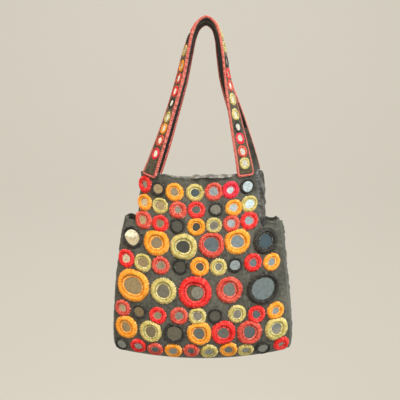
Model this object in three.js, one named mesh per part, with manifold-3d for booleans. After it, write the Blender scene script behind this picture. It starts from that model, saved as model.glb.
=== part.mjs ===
// Mini handbag of black cotton worked with round mirrors, hanging by its two straps.
// Millimetres, +Z up, +X to the right, the front faces -Y.
// The origin is the underside of the straps at the top of their loop, where a peg holds the bag.

import * as THREE from 'three';
import { mergeVertices } from 'three/addons/utils/BufferGeometryUtils.js';
import Module from 'manifold-3d';

const wasm = await Module();
wasm.setup();

// Wall thicknesses and clearances
const cottonWall = 1.6;
const satinWall = 1.2;
const seamGap = 0.4;
const wallGap = 0.7;
const stitchGap = 0.3;

// The body, one row for each level from the mouth down to the bottom seam.
// z: height at the side edges, sag: how much lower the cloth hangs in the middle
// sleeveLeft, sleeveRight: side edges of the main bag; rearRight: the right one at the back, which is wider
// outerLeft, outerRight: side edges of the part with pockets
// reachLeft, reachRight: where the front has rounded back to its edge depth
// front, back: depth in the middle
// edgeLeft, edgeRight: depth of the front at its sides; backEdge: depth of the back at its sides
const levels = [
  { z: -156, sag: 6.0, sleeveLeft: -66, sleeveRight: 52, rearRight: 58,
    outerLeft: -66, outerRight: 52, reachLeft: -66, reachRight: 53, front: 15.0, back: 12.5,
    edgeLeft: -1.5, edgeRight: 6.5, backEdge: 9.0 },
  { z: -180, sag: 6.5, sleeveLeft: -68, sleeveRight: 54, rearRight: 60,
    outerLeft: -70, outerRight: 58, reachLeft: -70, reachRight: 58, front: 18.5, back: 14.0,
    edgeLeft: 0.5, edgeRight: 8.0, backEdge: 9.5 },
  { z: -203, sag: 7.0, sleeveLeft: -69, sleeveRight: 55, rearRight: 61,
    outerLeft: -80, outerRight: 73, reachLeft: -79, reachRight: 73, front: 21.5, back: 16.0,
    edgeLeft: 7.5, edgeRight: 10.5, backEdge: 10.5 },
  { z: -235, sag: 7.5, sleeveLeft: -70, sleeveRight: 57, rearRight: 61,
    outerLeft: -86, outerRight: 77, reachLeft: -86, reachRight: 79, front: 24.0, back: 17.0,
    edgeLeft: 13.0, edgeRight: 13.5, backEdge: 12.0 },
  { z: -268, sag: 7.0, sleeveLeft: -71, sleeveRight: 59, rearRight: 60.5,
    outerLeft: -90, outerRight: 80.5, reachLeft: -90, reachRight: 82, front: 25.5, back: 17.5,
    edgeLeft: 14.0, edgeRight: 15.0, backEdge: 13.0 },
  { z: -300, sag: 7.5, sleeveLeft: -71, sleeveRight: 60, rearRight: 60.5,
    outerLeft: -92, outerRight: 83.5, reachLeft: -92, reachRight: 85, front: 25.0, back: 17.5,
    edgeLeft: 14.0, edgeRight: 14.5, backEdge: 13.0 },
  { z: -318, sag: 8.0, sleeveLeft: -70, sleeveRight: 60, rearRight: 60,
    outerLeft: -92.5, outerRight: 84.5, reachLeft: -93, reachRight: 86, front: 22.5, back: 16.0,
    edgeLeft: 12.5, edgeRight: 12.5, backEdge: 11.5 },
  { z: -328.5, sag: 8.7, sleeveLeft: -69, sleeveRight: 59, rearRight: 59,
    outerLeft: -91.5, outerRight: 83.5, reachLeft: -93, reachRight: 86, front: 16.5, back: 12.0,
    edgeLeft: 9.0, edgeRight: 9.0, backEdge: 8.5 },
  { z: -334, sag: 9.4, sleeveLeft: -67, sleeveRight: 57, rearRight: 57,
    outerLeft: -89.5, outerRight: 81.5, reachLeft: -92, reachRight: 85, front: 8.5, back: 6.5,
    edgeLeft: 4.8, edgeRight: 4.8, backEdge: 4.6 },
  { z: -336, sag: 10.0, sleeveLeft: -65, sleeveRight: 55, rearRight: 55,
    outerLeft: -87, outerRight: 79, reachLeft: -91, reachRight: 84, front: 0.25, back: 0.25,
    edgeLeft: 0.25, edgeRight: 0.25, backEdge: 0.25 },
];
const mouth = 0;
const step = 2;
const rearStep = 1.8; // the back of the pockets stands higher than the front
const bottomSeam = levels.length - 1;
const edgeRounding = 4; // power of the curve that rounds the panels back towards their sides

// The straps lift the mouth where they are sewn on
const footLift = 4.5;
const footSpread = 9;
const liftFades = 0.5;

// Side walls: the edges each joins at the front and the back, how far it bows out between them at its top and
// at its foot, the levels where it starts at the front and the back and where it ends, the folds that ripple
// it (depth, number and the share of its height they run over) and its grid
const sideWalls = {
  left_gusset: { edge: 'sleeveLeft', rear: 'sleeveLeft', out: -1, top: -2.5, foot: -1.5,
    from: mouth, rearFrom: mouth, to: 7.5, fold: 0.6, folds: 3, ripple: 'across', runs: 0.4,
    down: 10, across: 4 },
  right_gusset: { edge: 'sleeveRight', rear: 'rearRight', out: 1, top: 3.0, foot: 1.5,
    from: mouth, rearFrom: mouth, to: 7.5, fold: 0.9, folds: 3, ripple: 'across', runs: 0.4,
    down: 14, across: 4 },
  left_pocket: { edge: 'outerLeft', rear: 'outerLeft', out: -1, top: 2.5, foot: 2.5,
    from: step, rearFrom: rearStep, to: 8, fold: 1.2, folds: 2.5, ripple: 'along', runs: 0.6,
    down: 8, across: 8 },
  right_pocket: { edge: 'outerRight', rear: 'outerRight', out: 1, top: 4.0, foot: 4.0,
    from: step, rearFrom: rearStep, to: 8, fold: 1.6, folds: 2.5, ripple: 'along', runs: 0.6,
    down: 8, across: 8 },
};

// The lining band shows above the edge of the mouth and runs a short way down inside
const lining = { rise: 2.4, wave: 1.0, waves: 5, levels: 1.0, sideInset: 11, gap: 0.7 };

// Straps: a padded band inside a frame of braid
const strapBand = 12.5;
const strapThickness = 2.0;
const braidWidth = 2.7;
const braidThickness = 2.6;
const strapSteps = 38;

// Each strap from its feet to the top of the loop: height, then for the left and the right leg the sideways
// place, the depth, and how far the outer face has turned from sideways (0) towards the front or back (90)
const frontStrapRoute = [
  { z: -156.5, left: -57.5, yLeft: -8.4, turnLeft: 55, right: 40.0, yRight: -14.1, turnRight: 75 },
  { z: -146, left: -53.6, yLeft: -9.2, turnLeft: 49, right: 38.4, yRight: -14.6, turnRight: 69 },
  { z: -100, left: -38.2, yLeft: -9.8, turnLeft: 33, right: 29.4, yRight: -13.0, turnRight: 45 },
  { z: -57, left: -25.7, yLeft: -10.1, turnLeft: 28, right: 21.4, yRight: -11.5, turnRight: 22 },
  { z: -31, left: -20.0, yLeft: -10.2, turnLeft: 20, right: 17.8, yRight: -10.8, turnRight: 15 },
  { z: -14, left: -14.6, yLeft: -10.2, turnLeft: 10, right: 13.8, yRight: -10.4, turnRight: 9 },
  { z: -3.4, left: -8.2, yLeft: -10.2, turnLeft: 4, right: 8.0, yRight: -10.2, turnRight: 4 },
];
const backStrapRoute = [
  { z: -156.5, left: -56.0, yLeft: 12.9, turnLeft: 83, right: 48.8, yRight: 12.9, turnRight: 83 },
  { z: -146, left: -52.5, yLeft: 13.4, turnLeft: 76, right: 46.6, yRight: 13.4, turnRight: 76 },
  { z: -100, left: -37.0, yLeft: 12.4, turnLeft: 42, right: 33.6, yRight: 12.4, turnRight: 50 },
  { z: -57, left: -24.0, yLeft: 11.2, turnLeft: 26, right: 20.0, yRight: 11.2, turnRight: 30 },
  { z: -31, left: -17.8, yLeft: 10.7, turnLeft: 16, right: 15.2, yRight: 10.7, turnRight: 18 },
  { z: -14, left: -13.0, yLeft: 10.4, turnLeft: 8, right: 12.0, yRight: 10.4, turnRight: 9 },
  { z: -3.4, left: -7.6, yLeft: 10.2, turnLeft: 4, right: 7.6, yRight: 10.2, turnRight: 4 },
];
const strapDepth = 10.2; // of each strap's middle at the top of the loop
const strapTop = strapThickness / 2;

// Thread colours of the embroidered rings
const threads = {
  red: 0xc8201c,
  rose: 0xb8193c,
  orange: 0xdd8a1c,
  olive: 0xb09a48,
  salmon: 0xc04a38,
  black: 0x26251f,
};

// The mirror work, one row for each row of mirrors: the height of the row at the sides, then from left to
// right each mirror's sideways place, how far it sits below its row, the diameter of its ring and its thread.
// A row marked as a string is one run of rings, joined by short bars of thread.
const mirrorRows = [
  { z: -168.0,
    x: [-62.3, -48.5, -31.9, -11.2, 7.8, 24.6, 41.8],
    drop: [-1.5, 1, 2.5, 2, 1.3, 1, -0.5],
    ring: [18, 15.5, 18.5, 18, 18.5, 17.5, 15.5],
    thread: ['red', 'black', 'orange', 'olive', 'salmon', 'rose', 'black'] },
  { z: -185.5,
    x: [-62.4, -46.4, -28.3, -9.8, 9.6, 27.8, 43.5],
    drop: [-1, 0, 2.5, 1.5, 1.3, 0.8, -0.8],
    ring: [18, 16.5, 17.8, 17.5, 14.5, 17, 17.5],
    thread: ['orange', 'olive', 'salmon', 'red', 'black', 'orange', 'olive'] },
  { z: -202.0,
    x: [-63.5, -46.0, -29.0, -10.0, 7.7, 25.3, 43.2],
    drop: [-0.8, 0.5, 1.5, 1.5, 0.3, -0.8, -2],
    ring: [19, 17, 15, 18, 16, 16.8, 18],
    thread: ['salmon', 'red', 'black', 'orange', 'olive', 'salmon', 'red'] },
  { z: -221.0,
    x: [-74.2, -49.9, -22.7, 5.5, 31.2, 58.4],
    drop: [-1.3, 0.5, 2.6, 0.3, -2, 1],
    ring: [22, 26.5, 27, 25.5, 26, 23.5],
    thread: ['black', 'orange', 'olive', 'salmon', 'orange', 'black'] },
  { z: -242.5, string: true,
    x: [-80.5, -63.5, -45.7, -26.0, -6.5, 12.3, 28.9, 46.8, 65.8],
    drop: [-1.3, 0.3, 1, 0.8, 0.5, 1, 0, -1, 1],
    ring: [18, 18, 18, 15.5, 19, 17, 14.5, 18, 18],
    thread: ['red', 'olive', 'salmon', 'black', 'orange', 'olive', 'black', 'red', 'orange'] },
  { z: -267.5,
    x: [-73.5, -42.8, -11.2, 23.1, 57.3],
    drop: [-0.8, 1.3, 1.5, -0.3, 1],
    ring: [33, 25.5, 32.5, 26, 30.5],
    thread: ['orange', 'olive', 'red', 'salmon', 'black'] },
  { z: -292.0, string: true,
    x: [-83.9, -67.1, -48.5, -27.2, -8.9, 8.8, 30.9, 50.3, 69.7],
    drop: [-0.8, 0, 1.8, 0.8, 0.5, 0, -0.8, 1.5, 0.5],
    ring: [16.5, 14.5, 17, 17.5, 17.5, 15, 17.8, 17.5, 17.8],
    thread: ['salmon', 'black', 'red', 'salmon', 'olive', 'black', 'olive', 'red', 'orange'] },
  { z: -309.5,
    x: [-80.4, -55.6, -31.7, -6.9, 17.2, 43.2, 70.7],
    drop: [-0.3, 0.5, 0.5, -0.3, -0.5, 1, 1],
    ring: [23, 22, 21.5, 24.5, 24.5, 25, 24],
    thread: ['orange', 'olive', 'black', 'orange', 'red', 'salmon', 'olive'] },
  { z: -327.2, string: true,
    x: [-85.2, -68.4, -51.2, -33.1, -15.1, 2.9, 22.7, 39.7, 57.5, 75.9],
    drop: [0.5, -0.7, 0.5, 0.3, -0.5, 0.3, -1, 1, 1, 0],
    ring: [14.5, 16, 16, 17.5, 16, 17.2, 17.5, 16, 15.8, 16.5],
    thread: ['black', 'red', 'salmon', 'orange', 'salmon', 'olive', 'orange', 'olive', 'black', 'red'] },
];
const crowdGap = 0.5; // rings that would crowd each other are drawn in to leave this between them
const glassLevel = 1.0;
const shoulderShare = 0.92; // radii of the ring's shoulder, crest and glass opening, as shares of its own
const crestShare = 0.74;
const glassShare = 0.52;
const shoulderHeight = 0.62;
const crestBase = 1.2; // height of the crest is this plus a share of the diameter
const crestRise = 0.075;
const largeRing = 20;
const largeSides = 12;
const smallSides = 10;
const threadBar = { width: 3, thickness: 0.9, lift: 1.15, rooted: 0.78 };

// Smooth value of one column of a table of levels
function along(table, column, v) {
  const last = table.length - 1;
  const i = Math.min(Math.max(Math.floor(v), 0), last - 1);
  const t = v - i;
  const [a, b, c, d] = [-1, 0, 1, 2].map((k) => table[Math.min(Math.max(i + k, 0), last)][column]);
  const slopeIn = (c - a) / 2;
  const slopeOut = (d - b) / 2;
  const bend = 3 * (c - b) - 2 * slopeIn - slopeOut;
  const twist = slopeIn + slopeOut - 2 * (c - b);
  return b + slopeIn * t + bend * t * t + twist * t * t * t;
}

const level = (column, v) => along(levels, column, v);

// The level whose side edges are at height z
function levelAt(z) {
  let low = mouth;
  let high = bottomSeam;
  for (let n = 0; n < 40; n++) {
    const middle = (low + high) / 2;
    if (level('z', middle) > z) low = middle;
    else high = middle;
  }
  return (low + high) / 2;
}

// Share of the way from the middle of the panel to its side, from -1 to 1
function share(x, v) {
  const left = level('reachLeft', v);
  const right = level('reachRight', v);
  return (2 * x - left - right) / (right - left);
}

function hangHeight(x, v) {
  const feet = [frontStrapRoute[0].left, frontStrapRoute[0].right];
  const fade = Math.max(0, 1 - v / liftFades) ** 2;
  const lift = feet.reduce((sum, foot) => sum + Math.exp(-(((x - foot) / footSpread) ** 2)), 0);
  return level('z', v) - level('sag', v) * (1 - share(x, v) ** 2) + footLift * fade * lift;
}

function frontPoint(x, v) {
  const a = share(x, v);
  const edge = level(a < 0 ? 'edgeLeft' : 'edgeRight', v);
  const depth = edge + (level('front', v) - edge) * (1 - Math.abs(a) ** edgeRounding);
  return new THREE.Vector3(x, -depth, hangHeight(x, v));
}

function backPoint(x, v) {
  const edge = level('backEdge', v);
  const depth = edge + (level('back', v) - edge) * (1 - Math.abs(share(x, v)) ** edgeRounding);
  return new THREE.Vector3(x, depth, hangHeight(x, v));
}

// Unit normal of a panel, pointing out of the bag
function outward(surface, x, v) {
  const reach = 0.02;
  const v0 = Math.max(v - reach, mouth);
  const v1 = Math.min(v + reach, bottomSeam);
  const acrossX = surface(x + reach, v).sub(surface(x - reach, v));
  const down = surface(x, v1).sub(surface(x, v0));
  const normal = acrossX.cross(down).normalize();
  return surface === frontPoint ? normal.negate() : normal;
}

const frontInside = (x, v) => {
  const normal = outward(frontPoint, x, v);
  return frontPoint(x, v).y - cottonWall / normal.y;
};
const backInside = (x, v) => {
  const normal = outward(backPoint, x, v);
  return backPoint(x, v).y - cottonWall / normal.y;
};

// A closed geometry from corner points and quads
function closedGeometry(points, quads) {
  const geometry = new THREE.BufferGeometry().setFromPoints(points);
  geometry.setIndex(quads.flatMap(([a, b, c, d]) => [a, b, c, a, c, d]));
  geometry.computeVertexNormals();
  return geometry;
}

// A sheet of cloth with thickness, over a grid of cells. place(i, j) gives the outer point and inner(i, j)
// the inner one, and has(i, j) tells whether the cell right of and below that point is cloth.
function clothSheet({ across, down, place, inner, has = () => true, closed = false }) {
  const width = closed ? across : across + 1;
  const side = width * (down + 1);
  const index = (i, j) => (i % width) + j * width;
  const points = [];
  for (const at of [place, inner]) {
    for (let j = 0; j <= down; j++) {
      for (let i = 0; i < width; i++) points.push(at(i, j));
    }
  }
  const cloth = (i, j) => {
    const column = closed ? (i + across) % across : i;
    return j >= 0 && j < down && column >= 0 && column < across && has(column, j);
  };
  const quads = [];
  for (let j = 0; j < down; j++) {
    for (let i = 0; i < across; i++) {
      if (!cloth(i, j)) continue;
      const [a, b, c, d] = [index(i, j), index(i + 1, j), index(i + 1, j + 1), index(i, j + 1)];
      quads.push([a, d, c, b], [a + side, b + side, c + side, d + side]);
      if (!cloth(i, j - 1)) quads.push([a, b, b + side, a + side]);
      if (!cloth(i, j + 1)) quads.push([c, d, d + side, c + side]);
      if (!cloth(i - 1, j)) quads.push([d, a, a + side, d + side]);
      if (!cloth(i + 1, j)) quads.push([b, c, c + side, b + side]);
    }
  }
  return facingOut(closedGeometry(points, quads));
}

function positionsOnly(geometry) {
  const bare = geometry.clone();
  for (const name of Object.keys(bare.attributes)) if (name !== 'position') bare.deleteAttribute(name);
  return bare;
}

// The same geometry with only the points in use and no empty faces, turned to point out
function facingOut(geometry) {
  const plain = positionsOnly(geometry.toNonIndexed());
  const position = plain.getAttribute('position');
  const [a, b, c] = [new THREE.Vector3(), new THREE.Vector3(), new THREE.Vector3()];
  let volume = 0;
  for (let i = 0; i < position.count; i += 3) {
    a.fromBufferAttribute(position, i);
    b.fromBufferAttribute(position, i + 1);
    c.fromBufferAttribute(position, i + 2);
    volume += a.dot(b.cross(c));
  }
  const merged = mergeVertices(plain, 1e-4);
  const corners = Array.from(merged.index.array);
  if (volume < 0) corners.reverse();
  const kept = [];
  for (let i = 0; i < corners.length; i += 3) {
    const face = corners.slice(i, i + 3);
    if (new Set(face).size === 3) kept.push(...face);
  }
  merged.setIndex(kept);
  merged.computeVertexNormals();
  return merged;
}

function solidOf(geometry) {
  const merged = mergeVertices(positionsOnly(geometry), 1e-4);
  return new wasm.Manifold(new wasm.Mesh({
    numProp: 3,
    vertProperties: merged.getAttribute('position').array,
    triVerts: new Uint32Array(merged.index.array),
  }));
}

function geometryOf(solid) {
  const mesh = solid.getMesh();
  const geometry = new THREE.BufferGeometry();
  geometry.setAttribute('position', new THREE.BufferAttribute(mesh.vertProperties, 3));
  geometry.setIndex(new THREE.BufferAttribute(mesh.triVerts, 1));
  geometry.computeVertexNormals();
  return geometry;
}

const fuse = (geometries) => geometryOf(geometries.map(solidOf).reduce((whole, next) => whole.add(next)));

// Materials
const cotton = new THREE.MeshStandardMaterial({ color: 0x22211d, roughness: 0.95, metalness: 0 });
const satin = new THREE.MeshStandardMaterial({ color: 0x3a3a38, roughness: 0.45, metalness: 0 });
const braid = new THREE.MeshStandardMaterial({ color: 0xb8473a, roughness: 0.85, metalness: 0 });
const ringThreads = Object.fromEntries(Object.entries(threads).map(([name, color]) => [
  name, new THREE.MeshStandardMaterial({ color, roughness: 0.8, metalness: 0 }),
]));

const bag = new THREE.Group();
bag.name = 'mini_handbag';

function addPiece(name, geometry, material, parent = bag) {
  const mesh = new THREE.Mesh(geometry, material);
  mesh.name = name;
  parent.add(mesh);
  return mesh;
}

// Front and back panels: one stepped outline, the pocket ears starting below the step
function panel(surface, grid) {
  const across = grid.sleeve + 2 * grid.ear;
  const stops = grid.levels;
  const place = (i, j) => {
    const v = stops[j];
    const sleeve = [level('sleeveLeft', v), level(grid.right, v)];
    if (i < grid.ear) {
      const outer = level('outerLeft', Math.max(v, step));
      return surface(THREE.MathUtils.lerp(outer, sleeve[0], i / grid.ear), v);
    }
    if (i > grid.ear + grid.sleeve) {
      const outer = level('outerRight', Math.max(v, step));
      return surface(THREE.MathUtils.lerp(sleeve[1], outer, (i - grid.ear - grid.sleeve) / grid.ear), v);
    }
    return surface(THREE.MathUtils.lerp(...sleeve, (i - grid.ear) / grid.sleeve), v);
  };
  const inner = (i, j) => {
    const point = place(i, j);
    point.addScaledVector(outward(surface, point.x, stops[j]), -cottonWall);
    point.y = surface === frontPoint ? Math.min(point.y, -seamGap / 2) : Math.max(point.y, seamGap / 2);
    return point;
  };
  const has = (i, j) => stops[j] >= grid.step || (i >= grid.ear && i < grid.ear + grid.sleeve);
  return clothSheet({ across, down: stops.length - 1, place, inner, has });
}

const frontLevels = [0, 0.5, 1, 1.5, 2, 2.5, 3, 3.5, 4, 4.5, 5, 5.5, 6, 6.5, 7, 7.5, 8, 8.5, 9];
const backLevels = [0, 1, rearStep, 3, 4, 5, 6, 6.5, 7, 7.5, 8, 8.5, 9];
const frontGrid = { sleeve: 10, ear: 2, levels: frontLevels, step, right: 'sleeveRight' };
const backGrid = { sleeve: 8, ear: 1, levels: backLevels, step: rearStep, right: 'rearRight' };
addPiece('front_panel', panel(frontPoint, frontGrid), cotton);
addPiece('back_panel', panel(backPoint, backGrid), cotton);

// A side wall between the panels at one side, bowed and rippled, thick towards the inside of the bag
function sideWall(wall, thickness) {
  const { edge, rear, out, top, foot, from, rearFrom, to, fold, folds, ripple, runs, down, across } = wall;
  const at = (i, j, depthIn) => {
    const h = j / down;
    const w = i / across;
    const v = THREE.MathUtils.lerp(THREE.MathUtils.lerp(from, rearFrom, w), to, h);
    const [x0, x1] = [edge, rear].map((column) => level(column, Math.max(v, from)));
    const y0 = Math.max(frontInside(x0, v), frontInside(x0 - out * thickness, v)) + wallGap;
    const y1 = Math.min(backInside(x1, v), backInside(x1 - out * thickness, v)) - wallGap;
    const x = THREE.MathUtils.lerp(x0, x1, w);
    const fade = Math.max(0, 1 - h / runs);
    const turns = ripple === 'across' ? h / runs : w;
    const bow = THREE.MathUtils.lerp(foot, top, fade) + fold * fade * Math.sin(2 * Math.PI * folds * turns);
    const push = bow * Math.sin(Math.PI * w) - depthIn;
    return new THREE.Vector3(x + out * push, THREE.MathUtils.lerp(y0, y1, w), hangHeight(x, v));
  };
  return clothSheet({ across, down, place: (i, j) => at(i, j, 0), inner: (i, j) => at(i, j, thickness) });
}

for (const [name, wall] of Object.entries(sideWalls)) {
  const isGusset = name.endsWith('gusset');
  addPiece(name, sideWall(wall, isGusset ? satinWall : cottonWall), isGusset ? satin : cotton);
}

// Lining: a satin band round the inside of the mouth, its top edge wavy above the cotton
function liningBand() {
  const run = 12;
  const turn = 2;
  const across = 2 * (run + turn);
  const down = 3;
  const plan = (i, v, depthIn) => {
    const left = level('sleeveLeft', v) + lining.sideInset + depthIn;
    const right = level('sleeveRight', v) - lining.sideInset - depthIn;
    const front = (x) => frontInside(x, v) + lining.gap + depthIn;
    const back = (x) => backInside(x, v) - lining.gap - depthIn;
    const k = i % across;
    if (k <= run) {
      const x = THREE.MathUtils.lerp(left, right, k / run);
      return [x, front(x)];
    }
    if (k < run + turn) return [right, THREE.MathUtils.lerp(front(right), back(right), (k - run) / turn)];
    if (k <= 2 * run + turn) {
      const x = THREE.MathUtils.lerp(right, left, (k - run - turn) / run);
      return [x, back(x)];
    }
    return [left, THREE.MathUtils.lerp(back(left), front(left), (k - 2 * run - turn) / turn)];
  };
  const at = (i, j, depthIn) => {
    const v = Math.max(0, lining.levels * (j - 1) / (down - 1));
    const [x, y] = plan(i, v, depthIn);
    const wave = lining.wave * Math.sin(2 * Math.PI * lining.waves * (i / across));
    const rise = j === 0 ? lining.rise + wave : 0;
    return new THREE.Vector3(x, y, hangHeight(x, v) + rise);
  };
  return clothSheet({
    across,
    down,
    closed: true,
    place: (i, j) => at(i, j, 0),
    inner: (i, j) => at(i, j, satinWall),
  });
}
addPiece('lining', liningBand(), satin);

// Straps. A route gives the middle of the band, and each station its cross directions:
// wide runs across the band, away from the mouth at the feet and to the other strap at the top, and face
// points out of the loop.
function strapStation(route, front, part) {
  const legs = [
    ...route.map((r) => ({ x: r.left, y: r.yLeft, z: r.z, turn: -r.turnLeft })),
    { x: 0, y: front ? -strapDepth : strapDepth, z: strapTop, turn: 0 },
    ...[...route].reverse().map((r) => ({ x: r.right, y: r.yRight, z: r.z, turn: r.turnRight })),
  ];
  const curve = new THREE.CatmullRomCurve3(legs.map((p) => new THREE.Vector3(p.x, p.y, p.z)));
  const u = curve.getUtoTmapping(part);
  const middle = curve.getPoint(u);
  const tangent = curve.getTangent(u);
  const turn = THREE.MathUtils.degToRad(along(legs, 'turn', u * (legs.length - 1)));
  const wide = new THREE.Vector3(Math.sin(turn), front ? Math.cos(turn) : -Math.cos(turn), 0);
  wide.addScaledVector(tangent, -wide.dot(tangent)).normalize();
  const face = tangent.clone().cross(wide).multiplyScalar(front ? 1 : -1).normalize();
  return { middle, tangent, wide, face };
}

// A loop or run of four-cornered sections joined into one closed tube
function tube(sections, closed) {
  const points = sections.flat();
  const quads = [];
  const rings = closed ? sections.length : sections.length - 1;
  for (let n = 0; n < rings; n++) {
    const next = (n + 1) % sections.length;
    for (let k = 0; k < 4; k++) {
      const m = (k + 1) % 4;
      quads.push([4 * n + k, 4 * n + m, 4 * next + m, 4 * next + k]);
    }
  }
  const last = 4 * (sections.length - 1);
  if (!closed) quads.push([3, 2, 1, 0], [last, last + 1, last + 2, last + 3]);
  return facingOut(closedGeometry(points, quads));
}

function section(centre, wide, face, width, thickness) {
  const corners = [[-1, -1], [1, -1], [1, 1], [-1, 1]];
  return corners.map(([w, f]) => centre.clone()
    .addScaledVector(wide, w * width / 2)
    .addScaledVector(face, f * thickness / 2));
}

function strap(name, route, front) {
  const stations = [];
  for (let n = 0; n <= strapSteps; n++) stations.push(strapStation(route, front, n / strapSteps));
  const band = tube(stations.map((s) => section(s.middle, s.wide, s.face, strapBand, strapThickness)), false);
  addPiece(name, band, cotton);

  const offset = strapBand / 2 + stitchGap + braidWidth / 2;
  const edge = (s, side) => section(
    s.middle.clone().addScaledVector(s.wide, side * offset),
    s.wide, s.face, braidWidth, braidThickness,
  );
  const corner = (s, end, side) => {
    const out = offset + braidWidth / 2;
    const into = offset - braidWidth / 2;
    const tail = (reach, depth) => s.middle.clone()
      .addScaledVector(s.wide, side * reach)
      .addScaledVector(s.tangent, end * depth);
    const [far, near] = [tail(out, stitchGap + braidWidth), tail(into, stitchGap)];
    const lift = (p, f) => p.clone().addScaledVector(s.face, f * braidThickness / 2);
    const pair = side > 0 ? [near, far] : [far, near];
    return [lift(pair[0], -1), lift(pair[1], -1), lift(pair[1], 1), lift(pair[0], 1)];
  };
  const first = stations[0];
  const last = stations[stations.length - 1];
  const inner = stations.map((s) => edge(s, -1));
  const outer = stations.map((s) => edge(s, 1)).reverse();
  const flip = ([a, b, c, d]) => [b, a, d, c];
  addPiece(`${name}_edging`, tube([
    corner(first, -1, -1),
    ...inner,
    corner(last, 1, -1),
    flip(corner(last, 1, 1)),
    ...outer.map(flip),
    flip(corner(first, -1, 1)),
  ], true), braid);
}

strap('front_strap', frontStrapRoute, true);
strap('back_strap', backStrapRoute, false);

// Mirrors: a dished disc of glass in a raised ring of thread, on the lathe's own axis
function ringProfile(ring) {
  const r = ring / 2;
  const crest = crestBase + crestRise * ring;
  return [
    [0, 0], [r, 0], [r * shoulderShare, shoulderHeight * crest], [r * crestShare, crest],
    [r * glassShare, glassLevel], [0, glassLevel],
  ].map(([radius, height]) => new THREE.Vector2(radius, height));
}

// How far a flat disc has to stand off the cloth so that its rim clears it
function seat(x, v, radius) {
  const centre = frontPoint(x, v);
  const normal = outward(frontPoint, x, v);
  const samples = 12;
  let lift = 0;
  for (let n = 0; n < samples; n++) {
    const angle = 2 * Math.PI * n / samples;
    const px = x + radius * Math.cos(angle);
    const pv = levelAt(level('z', v) + radius * Math.sin(angle) * Math.max(-normal.y, 0.2));
    lift = Math.max(lift, frontPoint(px, pv).sub(centre).dot(normal));
  }
  return { place: centre.addScaledVector(normal, lift + stitchGap), normal };
}

// A bar of thread from one ring of a string to the next, clear of the cloth and of both glasses
function barBetween(one, two) {
  const [a, b] = [one, two].map(({ place, normal }) => place.clone().addScaledVector(normal, threadBar.lift));
  const alongBar = b.clone().sub(a).normalize();
  a.addScaledVector(alongBar, threadBar.rooted * one.ring / 2);
  b.addScaledVector(alongBar, -threadBar.rooted * two.ring / 2);
  const bar = new THREE.BoxGeometry(a.distanceTo(b), threadBar.width, threadBar.thickness);
  const up = one.normal.clone().add(two.normal);
  up.addScaledVector(alongBar, -up.dot(alongBar)).normalize();
  const basis = new THREE.Matrix4().makeBasis(alongBar, up.clone().cross(alongBar), up);
  basis.setPosition(a.add(b).multiplyScalar(0.5));
  return facingOut(bar.applyMatrix4(basis));
}

const mirrorWork = new THREE.Group();
mirrorWork.name = 'mirror_work';
bag.add(mirrorWork);

// Every mirror with its seat on the cloth, then drawn in where neighbours crowd it
const mirrors = mirrorRows.flatMap((row, r) => row.thread.map((thread, n) => ({
  row: r + 1, number: n + 1, string: row.string, thread,
  x: row.x[n], v: levelAt(row.z - row.drop[n]), ring: row.ring[n],
})));
for (const mirror of mirrors) Object.assign(mirror, seat(mirror.x, mirror.v, mirror.ring / 2));
const fits = mirrors.map((one) => Math.min(...mirrors.map((two) => {
  const room = one === two ? Infinity : one.place.distanceTo(two.place) - crowdGap;
  return Math.min(1, 2 * room / (one.ring + two.ring));
})));
mirrors.forEach((mirror, n) => { mirror.ring *= fits[n]; });

function mirrorGeometry({ ring }) {
  const sides = ring > largeRing ? largeSides : smallSides;
  return facingOut(new THREE.LatheGeometry(ringProfile(ring), sides));
}

const facing = (normal) => new THREE.Quaternion().setFromUnitVectors(new THREE.Vector3(0, 1, 0), normal);

for (const mirror of mirrors.filter((m) => !m.string)) {
  const name = `mirror_row${mirror.row}_${mirror.number}`;
  const mesh = addPiece(name, mirrorGeometry(mirror), ringThreads[mirror.thread], mirrorWork);
  mesh.position.copy(mirror.place);
  mesh.quaternion.copy(facing(mirror.normal));
}

mirrorRows.forEach((row, r) => {
  if (!row.string) return;
  const members = mirrors.filter((m) => m.row === r + 1);
  const rings = members.map((m) => mirrorGeometry(m).applyQuaternion(facing(m.normal)).translate(...m.place));
  const bars = members.slice(1).map((m, n) => barBetween(members[n], m));
  addPiece(`mirror_string_row${r + 1}`, fuse([...rings, ...bars]), ringThreads.salmon, mirrorWork);
});

export default bag;
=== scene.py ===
import math
import random

import bmesh
import bpy
import numpy as np
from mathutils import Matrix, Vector


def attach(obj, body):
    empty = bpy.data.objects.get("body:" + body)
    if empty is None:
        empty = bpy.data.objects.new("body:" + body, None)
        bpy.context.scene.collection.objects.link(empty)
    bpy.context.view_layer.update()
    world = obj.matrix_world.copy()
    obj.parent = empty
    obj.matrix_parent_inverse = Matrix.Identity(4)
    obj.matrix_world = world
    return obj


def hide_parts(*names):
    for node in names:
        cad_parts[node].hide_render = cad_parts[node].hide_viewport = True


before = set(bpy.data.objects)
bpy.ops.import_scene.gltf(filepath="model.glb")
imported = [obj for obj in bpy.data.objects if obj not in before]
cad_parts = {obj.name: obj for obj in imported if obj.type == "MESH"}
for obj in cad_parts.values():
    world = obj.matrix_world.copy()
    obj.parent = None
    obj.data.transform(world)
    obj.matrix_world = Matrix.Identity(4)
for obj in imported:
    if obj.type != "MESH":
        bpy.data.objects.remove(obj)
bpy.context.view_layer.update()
mm = 0.001  # all shapes below are worked out in millimetres

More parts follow.
